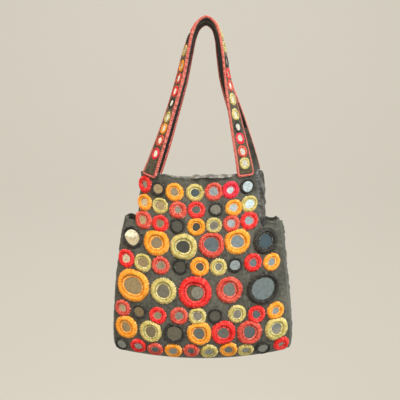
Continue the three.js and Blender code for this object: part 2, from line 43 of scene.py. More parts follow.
# Levels of the body from the mouth (0) to the bottom seam (9), one column each
body = {
    "z": [-156, -180, -203, -235, -268, -300, -318, -328.5, -334, -336],  # height at the side edges
    "sag": [6, 6.5, 7, 7.5, 7, 7.5, 8, 8.7, 9.4, 10],  # how much lower the middle hangs
    "sleeveLeft": [-66, -68, -69, -70, -71, -71, -70, -69, -67, -65],
    "sleeveRight": [50.4, 52.4, 54, 57, 59, 60, 60, 59, 57, 55],
    "rearRight": [58, 60, 61, 61, 60.5, 60.5, 60, 59, 57, 55],  # the back is wider on the right
    "outerLeft": [-66, -70, -80, -86, -90, -92, -92.5, -91.5, -89.5, -87],
    "outerRight": [52, 58, 73, 77, 80.5, 83.5, 84.5, 83.5, 81.5, 79],
    "reachLeft": [-66, -70, -79, -86, -90, -92, -93, -93, -92, -91],
    "reachRight": [53, 58, 73, 79, 82, 85, 86, 86, 85, 84],
    "front": [15, 18.5, 21.5, 24, 25.5, 25, 22.5, 16.5, 8.5, 0.25],
    "back": [12.5, 14, 16, 17, 17.5, 17.5, 16, 12, 6.5, 0.25],
    "edgeLeft": [-1.5, 0.5, 7.5, 13, 14, 14, 12.5, 9, 4.8, 0.25],
    "edgeRight": [6.5, 8, 10.5, 13.5, 15, 14.5, 12.5, 9, 4.8, 0.25],
    "backEdge": [9, 9.5, 10.5, 12, 13, 13, 11.5, 8.5, 4.6, 0.25],
}
cloth = {
    "cotton": 1.6,  # wall thicknesses
    "satin": 1.2,
    "step": 2,  # level where the pocket ears start, at the front and the back
    "rearStep": 1.8,
    "seam": 9,
    "feet": (-57.5, 40.0),  # where the straps lift the mouth
    "footLift": 4.5,
    "footSpread": 9,
    "liftFades": 0.5,
}


def along(column, v):
    # a smooth curve through a column's values
    values = np.asarray(column, float)
    v = np.asarray(v, float)
    last = len(values) - 1
    i = np.clip(np.floor(v).astype(int), 0, last - 1)
    t = v - i
    a, b, c, d = (values[np.clip(i + k, 0, last)] for k in (-1, 0, 1, 2))
    slopeIn, slopeOut = (c - a) / 2, (d - b) / 2
    bend = 3 * (c - b) - 2 * slopeIn - slopeOut
    twist = slopeIn + slopeOut - 2 * (c - b)
    return b + slopeIn * t + bend * t**2 + twist * t**3


def level(name, v):
    return along(body[name], v)


def levelAt(z):
    v = np.linspace(0, cloth["seam"], 3000)
    return float(np.interp(-z, -level("z", v), v))


def share(x, v):
    # the place across the cloth, -1 at the left edge and 1 at the right
    left, right = level("reachLeft", v), level("reachRight", v)
    return (2 * x - left - right) / (right - left)


def hangHeight(x, v):
    fade = np.maximum(0, 1 - np.asarray(v) / cloth["liftFades"]) ** 2
    lift = sum(np.exp(-(((x - foot) / cloth["footSpread"]) ** 2)) for foot in cloth["feet"])
    return level("z", v) - level("sag", v) * (1 - share(x, v) ** 2) + cloth["footLift"] * fade * lift


def frontPoint(x, v):
    a = share(x, v)
    edge = np.where(a < 0, level("edgeLeft", v), level("edgeRight", v))
    depth = edge + (level("front", v) - edge) * (1 - np.abs(a) ** 4)
    return np.stack(np.broadcast_arrays(x, -depth, hangHeight(x, v)), axis=-1)


def backPoint(x, v):
    edge = level("backEdge", v)
    depth = edge + (level("back", v) - edge) * (1 - np.abs(share(x, v)) ** 4)
    return np.stack(np.broadcast_arrays(x, depth, hangHeight(x, v)), axis=-1)


def unit(vectors):
    return vectors / np.maximum(np.linalg.norm(vectors, axis=-1, keepdims=True), 1e-9)


def lengthsAlong(line):
    return np.concatenate([[0], np.cumsum(np.linalg.norm(np.diff(line, axis=0), axis=1))])


def outward(surface, x, v):
    near = 0.02
    acrossX = surface(x + near, v) - surface(x - near, v)
    down = surface(x, np.minimum(v + near, cloth["seam"])) - surface(x, np.maximum(v - near, 0))
    normal = unit(np.cross(acrossX, down))
    return -normal if surface is frontPoint else normal


def ripples(x, z, size, seed, count=9):
    # uneven waves of about this size in millimetres
    dice = random.Random(seed)
    total = 0
    for _ in range(count):
        turn = dice.uniform(0, math.tau)
        wave = math.tau / (size * dice.uniform(0.7, 1.6))
        total = total + np.cos(wave * (x * math.cos(turn) + z * math.sin(turn)) + dice.uniform(0, math.tau))
    return total / math.sqrt(count)


# Meshes

def gridCorners(rows, cols, wrapped=False, start=0):
    index = np.arange(rows * cols).reshape(rows, cols) + start
    if wrapped:
        index = np.concatenate([index, index[:, :1]], axis=1)
    return index[:-1, :-1], index[:-1, 1:], index[1:, 1:], index[1:, :-1]


def gridFaces(rows, cols, wrapped=False, start=0):
    corners = gridCorners(rows, cols, wrapped, start)
    return np.stack([c.ravel() for c in corners], axis=1).tolist()


def loopFaces(rows, cols):
    # a grid closed both ways
    last = (rows - 1) * cols
    closing = [[last + k, last + (k + 1) % cols, (k + 1) % cols, k] for k in range(cols)]
    return gridFaces(rows, cols, True) + closing


def discFaces(rings, around, start):
    return gridFaces(rings, around, True, start) + [list(range(start, start + around))]


def thickSheet(outer, inner, has=None, wrapped=False):
    # two faces closed along every edge, with only the cells that the sheet has
    rows, cols = outer.shape[:2]
    a, b, c, d = gridCorners(rows, cols, wrapped)
    if has is None:
        has = np.ones(a.shape, bool)
    under = rows * cols
    framed = np.pad(has, ((1, 1), (0, 0)))
    framed = np.pad(framed, ((0, 0), (1, 1)), mode="wrap" if wrapped else "constant")
    bare = {"up": ~framed[:-2, 1:-1], "down": ~framed[2:, 1:-1],
            "left": ~framed[1:-1, :-2], "right": ~framed[1:-1, 2:]}
    faces = [[a, d, c, b, has], [a + under, b + under, c + under, d + under, has]]
    for side, (p, q) in {"up": (a, b), "down": (c, d), "left": (d, a), "right": (b, c)}.items():
        faces.append([p, q, q + under, p + under, has & bare[side]])
    quads = np.concatenate([np.stack([s[f[4]] for s in f[:4]], axis=1) for f in faces])
    points = np.concatenate([outer.reshape(-1, 3), inner.reshape(-1, 3)])
    return points, quads.tolist()


def makePiece(name, points, faces, finishes, picks=None, tones=None, sharp=None):
    mesh = bpy.data.meshes.new(name)
    mesh.from_pydata((np.asarray(points) * mm).tolist(), [], faces)
    if tones is not None:
        tone = mesh.attributes.new("tone", "FLOAT", "POINT")
        tone.data.foreach_set("value", np.asarray(tones, np.float32))
    for finish in finishes:
        mesh.materials.append(finish)
    if picks is not None:
        mesh.polygons.foreach_set("material_index", np.asarray(picks, np.int32))
    shape = bmesh.new()
    shape.from_mesh(mesh)
    loose = [v for v in shape.verts if not v.link_faces]
    bmesh.ops.delete(shape, geom=loose, context="VERTS")
    bmesh.ops.recalc_face_normals(shape, faces=shape.faces)
    shape.to_mesh(mesh)
    shape.free()
    mesh.shade_smooth()
    if sharp:
        mesh.set_sharp_from_angle(angle=math.radians(sharp))
    piece = bpy.data.objects.new(name, mesh)
    bpy.context.scene.collection.objects.link(piece)
    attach(piece, "root")
    return piece


# Finishes

def linear(*rgb):
    shares = [value / 255 for value in rgb]
    return tuple(c / 12.92 if c <= 0.04045 else ((c + 0.055) / 1.055) ** 2.4 for c in shares)


class Worked:
    # a socket, so that shader maths reads as plain expressions
    def __init__(self, finish, socket):
        self.finish, self.socket = finish, socket

    def maths(self, operation, first, second):
        return self.finish.node("ShaderNodeMath", {"operation": operation}, {0: first, 1: second})

    def __add__(self, other):
        return self.maths("ADD", self, other)

    def __sub__(self, other):
        return self.maths("SUBTRACT", self, other)

    def __rsub__(self, other):
        return self.maths("SUBTRACT", other, self)

    def __mul__(self, other):
        return self.maths("MULTIPLY", self, other)

    __radd__ = __add__
    __rmul__ = __mul__


class Finish:
    def __init__(self, owner):
        owner.use_nodes = True
        self.owner, self.tree = owner, owner.node_tree
        self.tree.nodes.clear()

    def node(self, kind, settings=None, inputs=None, output=0):
        made = self.tree.nodes.new(kind)
        for key, value in (settings or {}).items():
            if key == "stops":
                ramp = made.color_ramp.elements
                while len(ramp) < len(value):
                    ramp.new(0.5)
                for stop, (place, colour) in zip(ramp, value):
                    stop.position, stop.color = place, (*colour, 1)
            else:
                setattr(made, key, value)
        for key, value in (inputs or {}).items():
            if isinstance(value, Worked):
                self.tree.links.new(value.socket, made.inputs[key])
            else:
                made.inputs[key].default_value = value
        return Worked(self, made.outputs[output] if made.outputs else None)

    def mix(self, amount, one, two, blend="MIX"):
        one, two = ((*c, 1) if isinstance(c, tuple) else c for c in (one, two))
        settings = {"data_type": "RGBA", "blend_type": blend}
        return self.node("ShaderNodeMix", settings, {0: amount, 6: one, 7: two}, 2)

    def place(self):
        return self.node("ShaderNodeTexCoord", output=3)

    def noise(self, size, detail=2.0, stretch=None):
        at = self.place()
        if stretch:
            at = self.node("ShaderNodeVectorMath", {"operation": "MULTIPLY"}, {0: at, 1: stretch})
        inputs = {"Vector": at, "Scale": 1 / (size * mm), "Detail": detail}
        return self.node("ShaderNodeTexNoise", {}, inputs)

    def bands(self, direction, period):
        settings = {"wave_type": "BANDS", "bands_direction": direction}
        scale = math.tau / (20 * period * mm)  # the node repeats 20 times in a turn
        inputs = {"Vector": self.place(), "Scale": scale, "Distortion": 0.6}
        return self.node("ShaderNodeTexWave", settings, inputs, 1)

    def ramp(self, value, stops):
        return self.node("ShaderNodeValToRGB", {"stops": stops}, {0: value})

    def rise(self, value, low, high):
        return self.ramp(value, [(low, (0, 0, 0)), (high, (1, 1, 1))])

    def tone(self):
        return self.node("ShaderNodeAttribute", {"attribute_name": "tone"}, {}, 2)

    def bump(self, height, depth):
        return self.node("ShaderNodeBump", {}, {"Height": height, "Distance": depth * mm})

    def cover(self, inputs):
        skin = self.node("ShaderNodeBsdfPrincipled", {}, inputs)
        self.node("ShaderNodeOutputMaterial", {}, {"Surface": skin})
        return self.owner


cottonLook = {
    "thread": 0.62, "depth": 0.22,
    "faded": {"dark": linear(56, 56, 50), "worn": linear(116, 117, 107)},  # the body
    "black": {"dark": linear(54, 50, 38), "worn": linear(112, 104, 78)},  # the straps
    "inner": {"dark": linear(9, 9, 9), "worn": linear(24, 23, 22)},  # and their inner faces, near black: painted shade
}


def cottonFinish(name):
    # plain-woven black cotton, faded and dusty
    shades = cottonLook[name]
    f = Finish(bpy.data.materials.new(name + "Cotton"))
    warp = f.bands("X", cottonLook["thread"])
    weft = f.bands("Z", cottonLook["thread"])
    weave = warp * weft + (1 - warp) * (1 - weft)
    slubs = f.noise(1.7, 2, (0.45, 1, 1)) * 0.5 + f.noise(1.7, 2, (1, 1, 0.45)) * 0.5
    patchy = f.noise(26, 3) * 0.3 + f.noise(6, 3) * 0.2 + slubs * 0.5
    fade = f.rise(patchy, 0.4, 0.6)
    fade = fade * (0.55 + weave * 0.45)
    lint = f.rise(f.noise(0.9, 1), 0.70, 0.78)
    colour = f.mix(fade * 0.8, shades["dark"], shades["worn"])
    colour = f.mix(lint * 0.35, colour, linear(132, 129, 118))
    return f.cover({
        "Base Color": colour,
        "Roughness": 0.92 - weave * 0.12,
        "Normal": f.bump(weave * 0.7 + slubs * 1.6, cottonLook["depth"]),
        "Specular IOR Level": 0.25,
        "Sheen Weight": 0.12,
        "Sheen Roughness": 0.6,
    })


satinLook = {
    "crumple": 5.5, "depth": 0.7,
    "black": {"dark": linear(10, 10, 10), "light": linear(92, 94, 90), "gloss": 0.14},  # the gussets; the light colour is a painted highlight on the crumples
    "grey": {"dark": linear(80, 79, 75), "light": linear(160, 157, 148), "gloss": 0.4},  # the lining: a paler, painted-lit copy of the same satin, with painted highlight on the crumples
}


def satinFinish(name):
    # lining satin, floats running down the cloth, crumpled where it is gathered, with painted highlight on
    # the crumple tops
    shades = satinLook[name]
    f = Finish(bpy.data.materials.new(name + "Satin"))
    floats = f.bands("Y", 0.4)
    crumple = f.noise(satinLook["crumple"], 3)
    # painted highlight: lighter where the bump raises the crumples
    paintedGlints = f.rise(crumple, 0.42, 0.64)
    return f.cover({
        "Base Color": f.mix(paintedGlints * 0.7, shades["dark"], shades["light"]),
        "Roughness": shades["gloss"] + f.noise(9, 2) * 0.2,
        "Normal": f.bump(crumple * 1.4 + floats * 0.06, satinLook["depth"]),
        "Specular IOR Level": 0.7,
        "Sheen Weight": 0.1,
    })


threadColours = {  # the thread; its pale colour for the corded edge and the rim loops, partly pale thread and partly painted highlight; a darker dye, laid mostly into the painted shade; and how much of that shows
    "red": (linear(228, 12, 16), linear(255, 150, 134), linear(186, 6, 22), 0.4),
    "rose": (linear(222, 18, 44), linear(248, 140, 156), linear(180, 8, 60), 0.4),
    "orange": (linear(242, 152, 22), linear(255, 226, 150), linear(226, 112, 12), 0.45),
    "olive": (linear(198, 180, 98), linear(248, 244, 214), linear(116, 124, 50), 0.75),
    "salmon": (linear(206, 66, 48), linear(250, 176, 156), linear(176, 40, 36), 0.5),
    "black": (linear(30, 30, 28), linear(128, 128, 118), linear(14, 14, 13), 0.35),
}


def threadFinish(name, colour, pale, uneven, amount):
    # stranded embroidery thread: each stitch a little lighter or darker, with painted shade where stitches
    # meet and in the grooves, and painted highlight up to the pale colour
    f = Finish(bpy.data.materials.new("thread" + name.capitalize()))
    tone = f.tone()
    fibre = f.noise(0.35, 3)
    wear = f.rise(f.noise(5, 3), 0.5, 0.8)
    grain = tone + (f.noise(0.6, 2) - 0.5) * 0.55
    # the tone paints shade down to a fifth of the colour and highlight up to the pale colour
    shaded = f.ramp(grain, [(0, tuple(c * 0.2 for c in colour)), (0.6, colour), (1, pale)])
    # a darker dye laid by noise, mixed in most where the tone paints shade
    dyeInShade = f.rise(f.noise(2.6, 3), 0.5, 0.68)
    shaded = f.mix(dyeInShade * (1 - tone) * amount * 2, shaded, uneven)
    flecks = f.rise(f.noise(0.9, 2), 0.6, 0.72)
    return f.cover({
        "Base Color": f.mix(wear * 0.16 + flecks * (0.1 + 0.65 * amount), shaded, pale),
        "Roughness": 0.5 + fibre * 0.3,
        "Normal": f.bump(fibre, 0.12),
        "Specular IOR Level": 0.3,
        "Sheen Weight": 0.06,
        "Sheen Roughness": 0.45,
    })


# the braid's colour in painted shade (deep) and in painted highlight
braidLook = {"deep": linear(132, 38, 36), "bright": linear(240, 136, 120)}


def braidFinish():
    # salmon-red trimming braid, its tone mixing painted shade (deep) and painted highlight
    f = Finish(bpy.data.materials.new("salmonBraid"))
    tone = f.tone()
    fibre = f.noise(0.4, 3)
    grubby = f.rise(f.noise(11, 3), 0.45, 0.75)
    colour = f.mix(tone, braidLook["deep"], braidLook["bright"])
    return f.cover({
        "Base Color": f.mix(grubby * 0.3, colour, linear(176, 70, 60)),
        "Roughness": 0.55 + fibre * 0.25,
        "Normal": f.bump(fibre, 0.12),
        "Specular IOR Level": 0.35,
        "Sheen Weight": 0.2,
    })


# the silver from clear to dull: the dull end stands partly for lost silver, partly for painted shade in the
# reflections
glassLook = {
    "clear": linear(240, 240, 232), "stained": linear(182, 176, 152), "dull": linear(96, 106, 108),
    "wavy": 0.001,
}


def glassFinish():
    # thin hand-cut mirror, slightly wavy, clouded and spotted with age, duller by its tone: partly lost
    # silver, partly painted shade
    f = Finish(bpy.data.materials.new("mirrorGlass"))
    tone = f.tone()
    cloud = f.rise(f.noise(3.2, 4), 0.42, 0.72)
    spots = f.rise(f.noise(0.8, 2), 0.68, 0.74)
    silver = f.mix(tone, glassLook["dull"], glassLook["clear"])
    return f.cover({
        "Base Color": f.mix(cloud * 0.4 + spots * 0.3, silver, glassLook["stained"], "MULTIPLY"),
        "Metallic": 1 - spots * 0.3,
        "Roughness": 0.04 + cloud * 0.06,
        "Normal": f.bump(f.noise(3.0, 1), glassLook["wavy"]),
    })


finishes = {
    "cotton": cottonFinish("faded"),
    "strapCotton": cottonFinish("black"),
    "strapInsideShade": cottonFinish("inner"),
    "satin": satinFinish("black"), "lining": satinFinish("grey"),
    "braid": braidFinish(), "glass": glassFinish(),
}
finishes.update({name: threadFinish(name, *colours) for name, colours in threadColours.items()})
print("finishes made:", len(finishes))

# Mirror work on the front, row by row: height at the sides, then from left to right the places, how far
# each sits below its row, the ring sizes, the share of each ring that is open in hundredths, how clear the
# glass is in tenths, and the threads
# lower clearness stands partly for silver lost with age, partly for painted shade in the reflections
mirrorRows = [
    {"z": -168, "x": [-62.3, -48.5, -31.9, -11.2, 7.8, 24.6, 41.8],
     "drop": [-1.5, 1, 2.5, 2, 1.3, 1, -0.5],
     "ring": [18, 15.5, 18.5, 18, 18.5, 17.5, 15.5],
     "open": [40, 66, 45, 48, 50, 40, 72],
     "clear": [4, 10, 9, 0, 4, 9, 9],
     "thread": "red black orange olive salmon rose black"},
    {"z": -185.5, "x": [-62.4, -46.4, -28.3, -9.8, 9.6, 27.8, 43.5],
     "drop": [-1, 0, 2.5, 1.5, 1.3, 0.8, -0.8],
     "ring": [18, 16.5, 17.8, 17.5, 14.5, 17, 17.5],
     "open": [48, 57, 38, 47, 70, 48, 55],
     "clear": [9, 9, 9, 3, 8, 7, 10],
     "thread": "orange olive salmon red black orange olive"},
    {"z": -202, "x": [-63.5, -46, -29, -10, 7.7, 25.3, 43.2],
     "drop": [-0.8, 0.5, 1.5, 1.5, 0.3, -0.8, -2],
     "ring": [19, 17, 15, 18, 16, 16.8, 18],
     "open": [42, 46, 70, 45, 56, 47, 48],
     "clear": [10, 8, 3, 2, 8, 6, 5],
     "thread": "salmon red black orange olive salmon red"},
    {"z": -221, "x": [-74.2, -49.9, -22.7, 5.5, 31.2, 60],
     "drop": [-1.3, 0.5, 2.6, 0.3, -2, 1],
     "ring": [22, 26.5, 27, 25.5, 26, 26],
     "open": [75, 43, 49, 59, 51, 54],
     "clear": [10, 9, 2, 1, 3, 0], "cracked": 1,
     "thread": "black orange olive salmon orange black"},
    {"z": -242.5, "string": True, "x": [-80.5, -63.5, -45.7, -26, -6.5, 12.3, 28.9, 46.8, 65.8],
     "drop": [-1.3, 0.3, 1, 0.8, 0.5, 1, 0, -1, 1],
     "ring": [18, 18, 18, 15.5, 19, 17, 14.5, 18, 18],
     "open": [49, 57, 47, 68, 42, 42, 72, 44, 42],
     "clear": [10, 9, 10, 2, 3, 9, 4, 8, 3],
     "thread": "red olive salmon black orange olive black red orange"},
    {"z": -267.5, "x": [-73.5, -42.8, -11.2, 23.1, 57.3],
     "drop": [-0.8, 1.3, 1.5, -0.3, 1],
     "ring": [33, 25.5, 32.5, 26, 32],
     "open": [56, 53, 53, 50, 72],
     "clear": [9, 6, 9, 8, 9], "sunk": 3, "wider": 5,
     "thread": "orange olive red salmon black"},
    {"z": -292, "string": True, "x": [-83.9, -67.1, -48.5, -27.2, -8.9, 8.8, 30.9, 50.3, 69.7],
     "drop": [-0.8, 0, 1.8, 0.8, 0.5, 0, -0.8, 1.5, 0.5],
     "ring": [16.5, 14.5, 17, 17.5, 17.5, 15, 17.8, 17.5, 17.8],
     "open": [45, 69, 46, 47, 50, 69, 48, 46, 40],
     "clear": [9, 5, 9, 9, 9, 3, 9, 5, 9],
     "thread": "salmon black red salmon olive black olive red orange"},
    {"z": -309.5, "x": [-80.4, -55.6, -31.7, -6.9, 17.2, 43.2, 70.7],
     "drop": [-0.3, 0.5, 0.5, -0.3, -0.5, 1, 1],
     "ring": [23, 22, 21.5, 24.5, 24.5, 25, 24],
     "open": [42, 50, 68, 47, 46, 49, 45],
     "clear": [8, 5, 4, 5, 5, 5, 6],
     "thread": "orange olive black orange red salmon olive"},
    {"z": -327.2, "string": True, "x": [-85.2, -68.4, -51.2, -33.1, -15.1, 2.9, 22.7, 39.7, 57.5, 75.9],
     "drop": [0.5, -0.7, 0.5, 0.3, -0.5, 0.3, -1, 1, 1, 0],
     "ring": [14.5, 16, 16, 17.5, 16, 17.2, 17.5, 16, 15.8, 16.5],
     "open": [67, 48, 46, 48, 42, 48, 48, 45, 65, 30],
     "clear": [2, 3, 0, 2, 0, 2, 1, 2, 2, 3],
     "thread": "black red salmon orange salmon olive orange olive black red"},
]
ringLook = {
    "stitch": 0.95,  # width of one stitch, in millimetres as all lengths here
    "round": 0.78,  # share of the ring's size where that width is measured
    "finer": 0.3,  # how far small rings have narrower stitches
    "fewest": 16,  # stitches
    "columns": 4,  # points across a stitch
    "fewColumns": 3,  # and on the straps
    "ridge": 0.16,  # how proud a stitch stands
    "uneven": 0.3,  # and how much more the pale ones do
    "slant": 0.16,  # lean of the stitches, radians from the opening to the rim
    "fray": 0.035,  # uneven stitch ends
    "notch": 0.05,  # how far the rim draws in between stitches
    "shades": (0.66, 1),  # darkest and palest stitch
    "wobble": ((1, 0.06), (2, 0.06), (3, 0.04)),  # waves round the opening, and their depths
    "rounder": (0.58, 0.4),  # openings above this share keep only part of those waves
    "widest": 0.8,  # most of a ring that may be open
    "square": 14,  # how flat the crowded sides are
    "glass": 0.6,  # height of the glass above the cloth
    "lip": 0.85,  # corded edge over the glass
    "crest": (1.2, 0.075),  # height of the padding, and the share of the ring's size that adds to it
    "leg": 0.6,  # loops that tie the stitches down at the rim
    "shortLeg": 0.4,  # every second loop is shorter
    "tilt": 2.4,  # degrees that a glass may lean
    "crack": (0.4, 0.07),  # lift of a cracked glass, and the slope between its halves
    "small": (0.7, 0.3, 0.1),  # a loose little glass: share of the opening, and how far aside and down
    "bed": 0.3,  # height of the cloth under it
    "disc": (0.02, 1.07),  # radii of a glass in shares of the opening
    "fineDisc": (0.02, 0.5, 0.85, 1.07),
    "press": 0.6,  # how far crowded rings swell past the line between them
    "near": 2,  # gap below which rings crowd each other
    "full": 1.05,  # rings swell a little past their marked size
    "draw": 0.9,  # and their openings draw in
    "wider": 1.03,  # one ring is stretched sideways
    "overhang": 3.0,  # how far a ring may wrap round the side of the cloth
    # from the opening (0) to the rim (1) and back under: height in shares of glass, lip and crest, and in mm
    "profile": [
        (0, 1, 0, 0, -0.3), (0.03, 1, 0.6, 0, 0), (0.11, 1, 1, 0, 0), (0.2, 1, 0.92, 0, 0),
        (0.27, 1, 0.6, 0, 0), (0.36, 0, 0, 0.84, 0), (0.49, 0, 0, 1, 0), (0.64, 0, 0, 0.97, 0),
        (0.79, 0, 0, 0.8, 0), (0.91, 0, 0, 0.5, 0), (0.99, 0, 0, 0, 0.3), (1, 0, 0, 0, -0.35),
        (0.5, 0, 0, 0, -0.35),
    ],
    "proud": ([0, 2, 6, 9, 10], [0, 0.6, 1, 0.8, 0]),  # how far stitches stand out, by row of the profile
    "tone": 0.74,
    "paintedShade": ([0, 0.05, 0.27, 0.42, 0.85, 1], [0.3, 0.8, 0.3, 1, 0.95, 0.65]),  # painted shade: darker in the grooves, on the inner wall and at the edges
    "corded": ([0.02, 0.06, 0.2, 0.26], [0, 1, 1, 0]),  # where the pale cord lies: partly pale thread, partly painted highlight
    "looped": ([0.84, 0.93], [0, 1]),  # and the pale loops at the rim: partly pale thread, partly painted highlight
}
mirrors = []
for number, row in enumerate(mirrorRows, 1):
    for n, thread in enumerate(row["thread"].split()):
        flaw = next((flaw for flaw in ("sunk", "cracked") if row.get(flaw) == n + 1), "none")
        mirrors.append({
            "row": number, "n": n + 1, "thread": thread, "flaw": flaw, "wider": row.get("wider") == n + 1,
            "x": row["x"][n], "v": levelAt(row["z"] - row["drop"][n]), "ring": row["ring"][n],
            "open": row["open"][n] / 100, "clear": row["clear"][n] / 10,
        })
patchLook = {"steps": 60, "down": 3, "aside": 24}  # samples, levels and millimetres each way


def panelPatch(x, v):
    # lays a flat pattern on the front panel by lengths along the cloth
    middle = patchLook["steps"]
    steps = np.linspace(-1, 1, 2 * middle + 1)
    downs = np.clip(v + patchLook["down"] * steps, 0, cloth["seam"])
    sides = x + patchLook["aside"] * steps
    columnLine = frontPoint(np.full(steps.size, x), downs)
    rowLine = frontPoint(sides, np.full(steps.size, v))
    lengths = []
    for line in (columnLine, rowLine):
        run = lengthsAlong(line)
        lengths.append(run - run[middle])
    centre = frontPoint(x, v)
    normal = outward(frontPoint, np.array(x), np.array(v))
    right = unit(rowLine[middle + 1] - rowLine[middle - 1])
    up = np.cross(normal, right)

    def lay(a, b, h):
        px = np.interp(a, lengths[1], sides)
        pv = np.interp(-b, lengths[0], downs)
        return frontPoint(px, pv) + outward(frontPoint, px, pv) * h[..., None]

    return {"lay": lay, "centre": centre, "right": right, "up": up, "normal": normal}


def ringReach(angles, halfWide, halfTall, limits):
    reach = 1 / np.sqrt((np.cos(angles) / halfWide) ** 2 + (np.sin(angles) / halfTall) ** 2)
    square = ringLook["square"]
    for gap, direction in limits:  # a neighbour or an edge softly flattens this side of the ring
        facing = np.maximum(np.cos(angles - direction), 0.05)
        reach = (reach**-square + (gap / facing) ** -square) ** (-1 / square)
    return reach


def stitchedMirror(patch, halfWide, halfTall, limits, opening, seed, clear, fine=1, flaw="none"):
    dice = random.Random(seed)
    size = halfWide + halfTall
    columns = ringLook["columns" if fine == 1 else "fewColumns"]
    stitchWide = ringLook["stitch"] * fine ** ringLook["finer"]
    stitches = max(ringLook["fewest"], round(math.pi * ringLook["round"] * size / stitchWide))
    stitches += stitches * columns % 2
    count = stitches * columns
    angles = math.tau * np.arange(count) / count
    within = np.arange(count) % columns
    ridge = np.sin(math.pi * (within + 0.5) / columns) ** 0.8
    ends = np.repeat([dice.uniform(1 - ringLook["fray"], 1) for _ in range(stitches)], columns)
    shade = np.repeat([dice.uniform(*ringLook["shades"]) for _ in range(stitches)], columns)
    reach = ringReach(angles, halfWide, halfTall, limits) * ends * (1 - ringLook["notch"] * (1 - ridge))
    loops = [dice.uniform(0, 1) * (ringLook["shortLeg"] if k % 2 else 1) for k in range(stitches)]
    loops = np.repeat(loops, columns)
    legs = ringLook["leg"] * fine * loops * (within != 0)
    wobble = sum(deep * np.cos(k * angles - dice.uniform(0, math.tau)) for k, deep in ringLook["wobble"])
    large, kept = ringLook["rounder"]
    wobble = 1 + wobble * (kept if opening > large else 1)
    inner = opening * ringReach(angles, halfWide, halfTall, []) * wobble
    inner = np.minimum(inner, ringLook["widest"] * reach)
    glass, lip = ringLook["glass"] * fine, ringLook["lip"] * fine
    crest = (ringLook["crest"][0] + ringLook["crest"][1] * size) * fine
    t, onGlass, onLip, onCrest, plain = (column[:, None] for column in np.array(ringLook["profile"]).T)
    raised = ringLook["ridge"] * ridge + ringLook["uneven"] * (shade - 0.85)
    proud = np.interp(np.arange(t.size)[:, None], *ringLook["proud"])
    h = onGlass * glass + onLip * lip + onCrest * crest + plain + raised * proud
    r = inner + (reach - inner) * t
    r[-3:-1] += legs
    turned = angles + ringLook["slant"] * (t - 0.5)
    points = patch["lay"](r * np.cos(turned), r * np.sin(turned), h).reshape(-1, 3)
    # painted shade in the tone: darker between stitches, in the grooves and at the ring's edges
    tones = ringLook["tone"] * shade * (0.72 + 0.28 * ridge) * np.interp(t, *ringLook["paintedShade"])
    # the cord and the loops lift the tone towards the pale colour: partly pale thread, partly painted
    # highlight
    corded = np.interp(t, *ringLook["corded"]) * (3 * shade - 2).clip(0.35, 0.95)
    looped = np.interp(t, *ringLook["looped"]) * loops
    tones = tones + (1 - tones) * np.maximum(corded, looped)
    faces = loopFaces(t.size, count)
    picks = [0] * len(faces)
    # the glass: a flat, slightly tilted disc under the corded edge
    lean = math.tan(math.radians(ringLook["tilt"]))
    tilt = (dice.uniform(-lean, lean), dice.uniform(-lean, lean)) if flaw != "cracked" else (0, 0)
    rings = np.array(ringLook["disc" if flaw == "none" else "fineDisc"])[:, None]
    across, upward = np.cos(angles[::2]), np.sin(angles[::2])
    a, b = rings * inner[::2] * across, rings * inner[::2] * upward
    discs = []
    if flaw == "sunk":  # a smaller round glass to one side, on the bare cloth
        discs.append(patch["lay"](a, b, 0 * a + ringLook["bed"]))
        width, aside = (amount * inner.mean() for amount in ringLook["small"][:2])
        a, b = aside + rings * width * across, rings * width * upward - ringLook["small"][2] * aside
    dome = glass + a * tilt[0] + b * tilt[1]
    if flaw == "cracked":  # the lower half leans back
        dome = dome + ringLook["crack"][0] + np.minimum(b, 0) * ringLook["crack"][1]
    a, b, dome = (value[..., None] for value in (a, b, dome))
    discs.insert(0, patch["centre"] + a * patch["right"] + b * patch["up"] + dome * patch["normal"])
    for pick, disc in enumerate(discs, 1):
        faces += discFaces(len(rings), count // 2, len(points))
        picks += [pick] * (len(faces) - len(picks))
        points = np.concatenate([points, disc.reshape(-1, 3)])
    tones = np.concatenate([tones.ravel(), np.full(len(points) - tones.size, clear)])
    return points, faces, picks, tones


def joined(parts):
    points, faces, picks, tones = [], [], [], []
    start = 0
    for part in parts:
        points.append(part[0])
        faces += [[k + start for k in face] for face in part[1]]
        picks += list(part[2])
        tones.append(part[3])
        start += len(part[0])
    return np.concatenate(points), faces, picks, np.concatenate(tones)


for mirror in mirrors:
    mirror["patch"] = panelPatch(mirror["x"], mirror["v"])


def crowding(mirror):
    # where neighbours and the cloth's side edges flatten a ring
    patch = mirror["patch"]
    limits = []
    for other in mirrors:
        step = other["patch"]["centre"] - patch["centre"]
        gap = float(np.linalg.norm(step))
        if other is mirror or gap > 0.5 * (mirror["ring"] + other["ring"]) + ringLook["near"]:
            continue
        part = mirror["ring"] / (mirror["ring"] + other["ring"])
        direction = math.atan2(step @ patch["up"], step @ patch["right"])
        limits.append((gap * part + ringLook["press"], direction))
    lower = mirror["v"] >= cloth["step"]
    for name, direction in (("Left", math.pi), ("Right", 0)):
        edge = float(level(("outer" if lower else "sleeve") + name, mirror["v"]))
        line = frontPoint(np.linspace(mirror["x"], edge, 40), np.full(40, mirror["v"]))
        length = float(np.linalg.norm(np.diff(line, axis=0), axis=1).sum())
        limits.append((length + ringLook["overhang"], direction))
    return limits


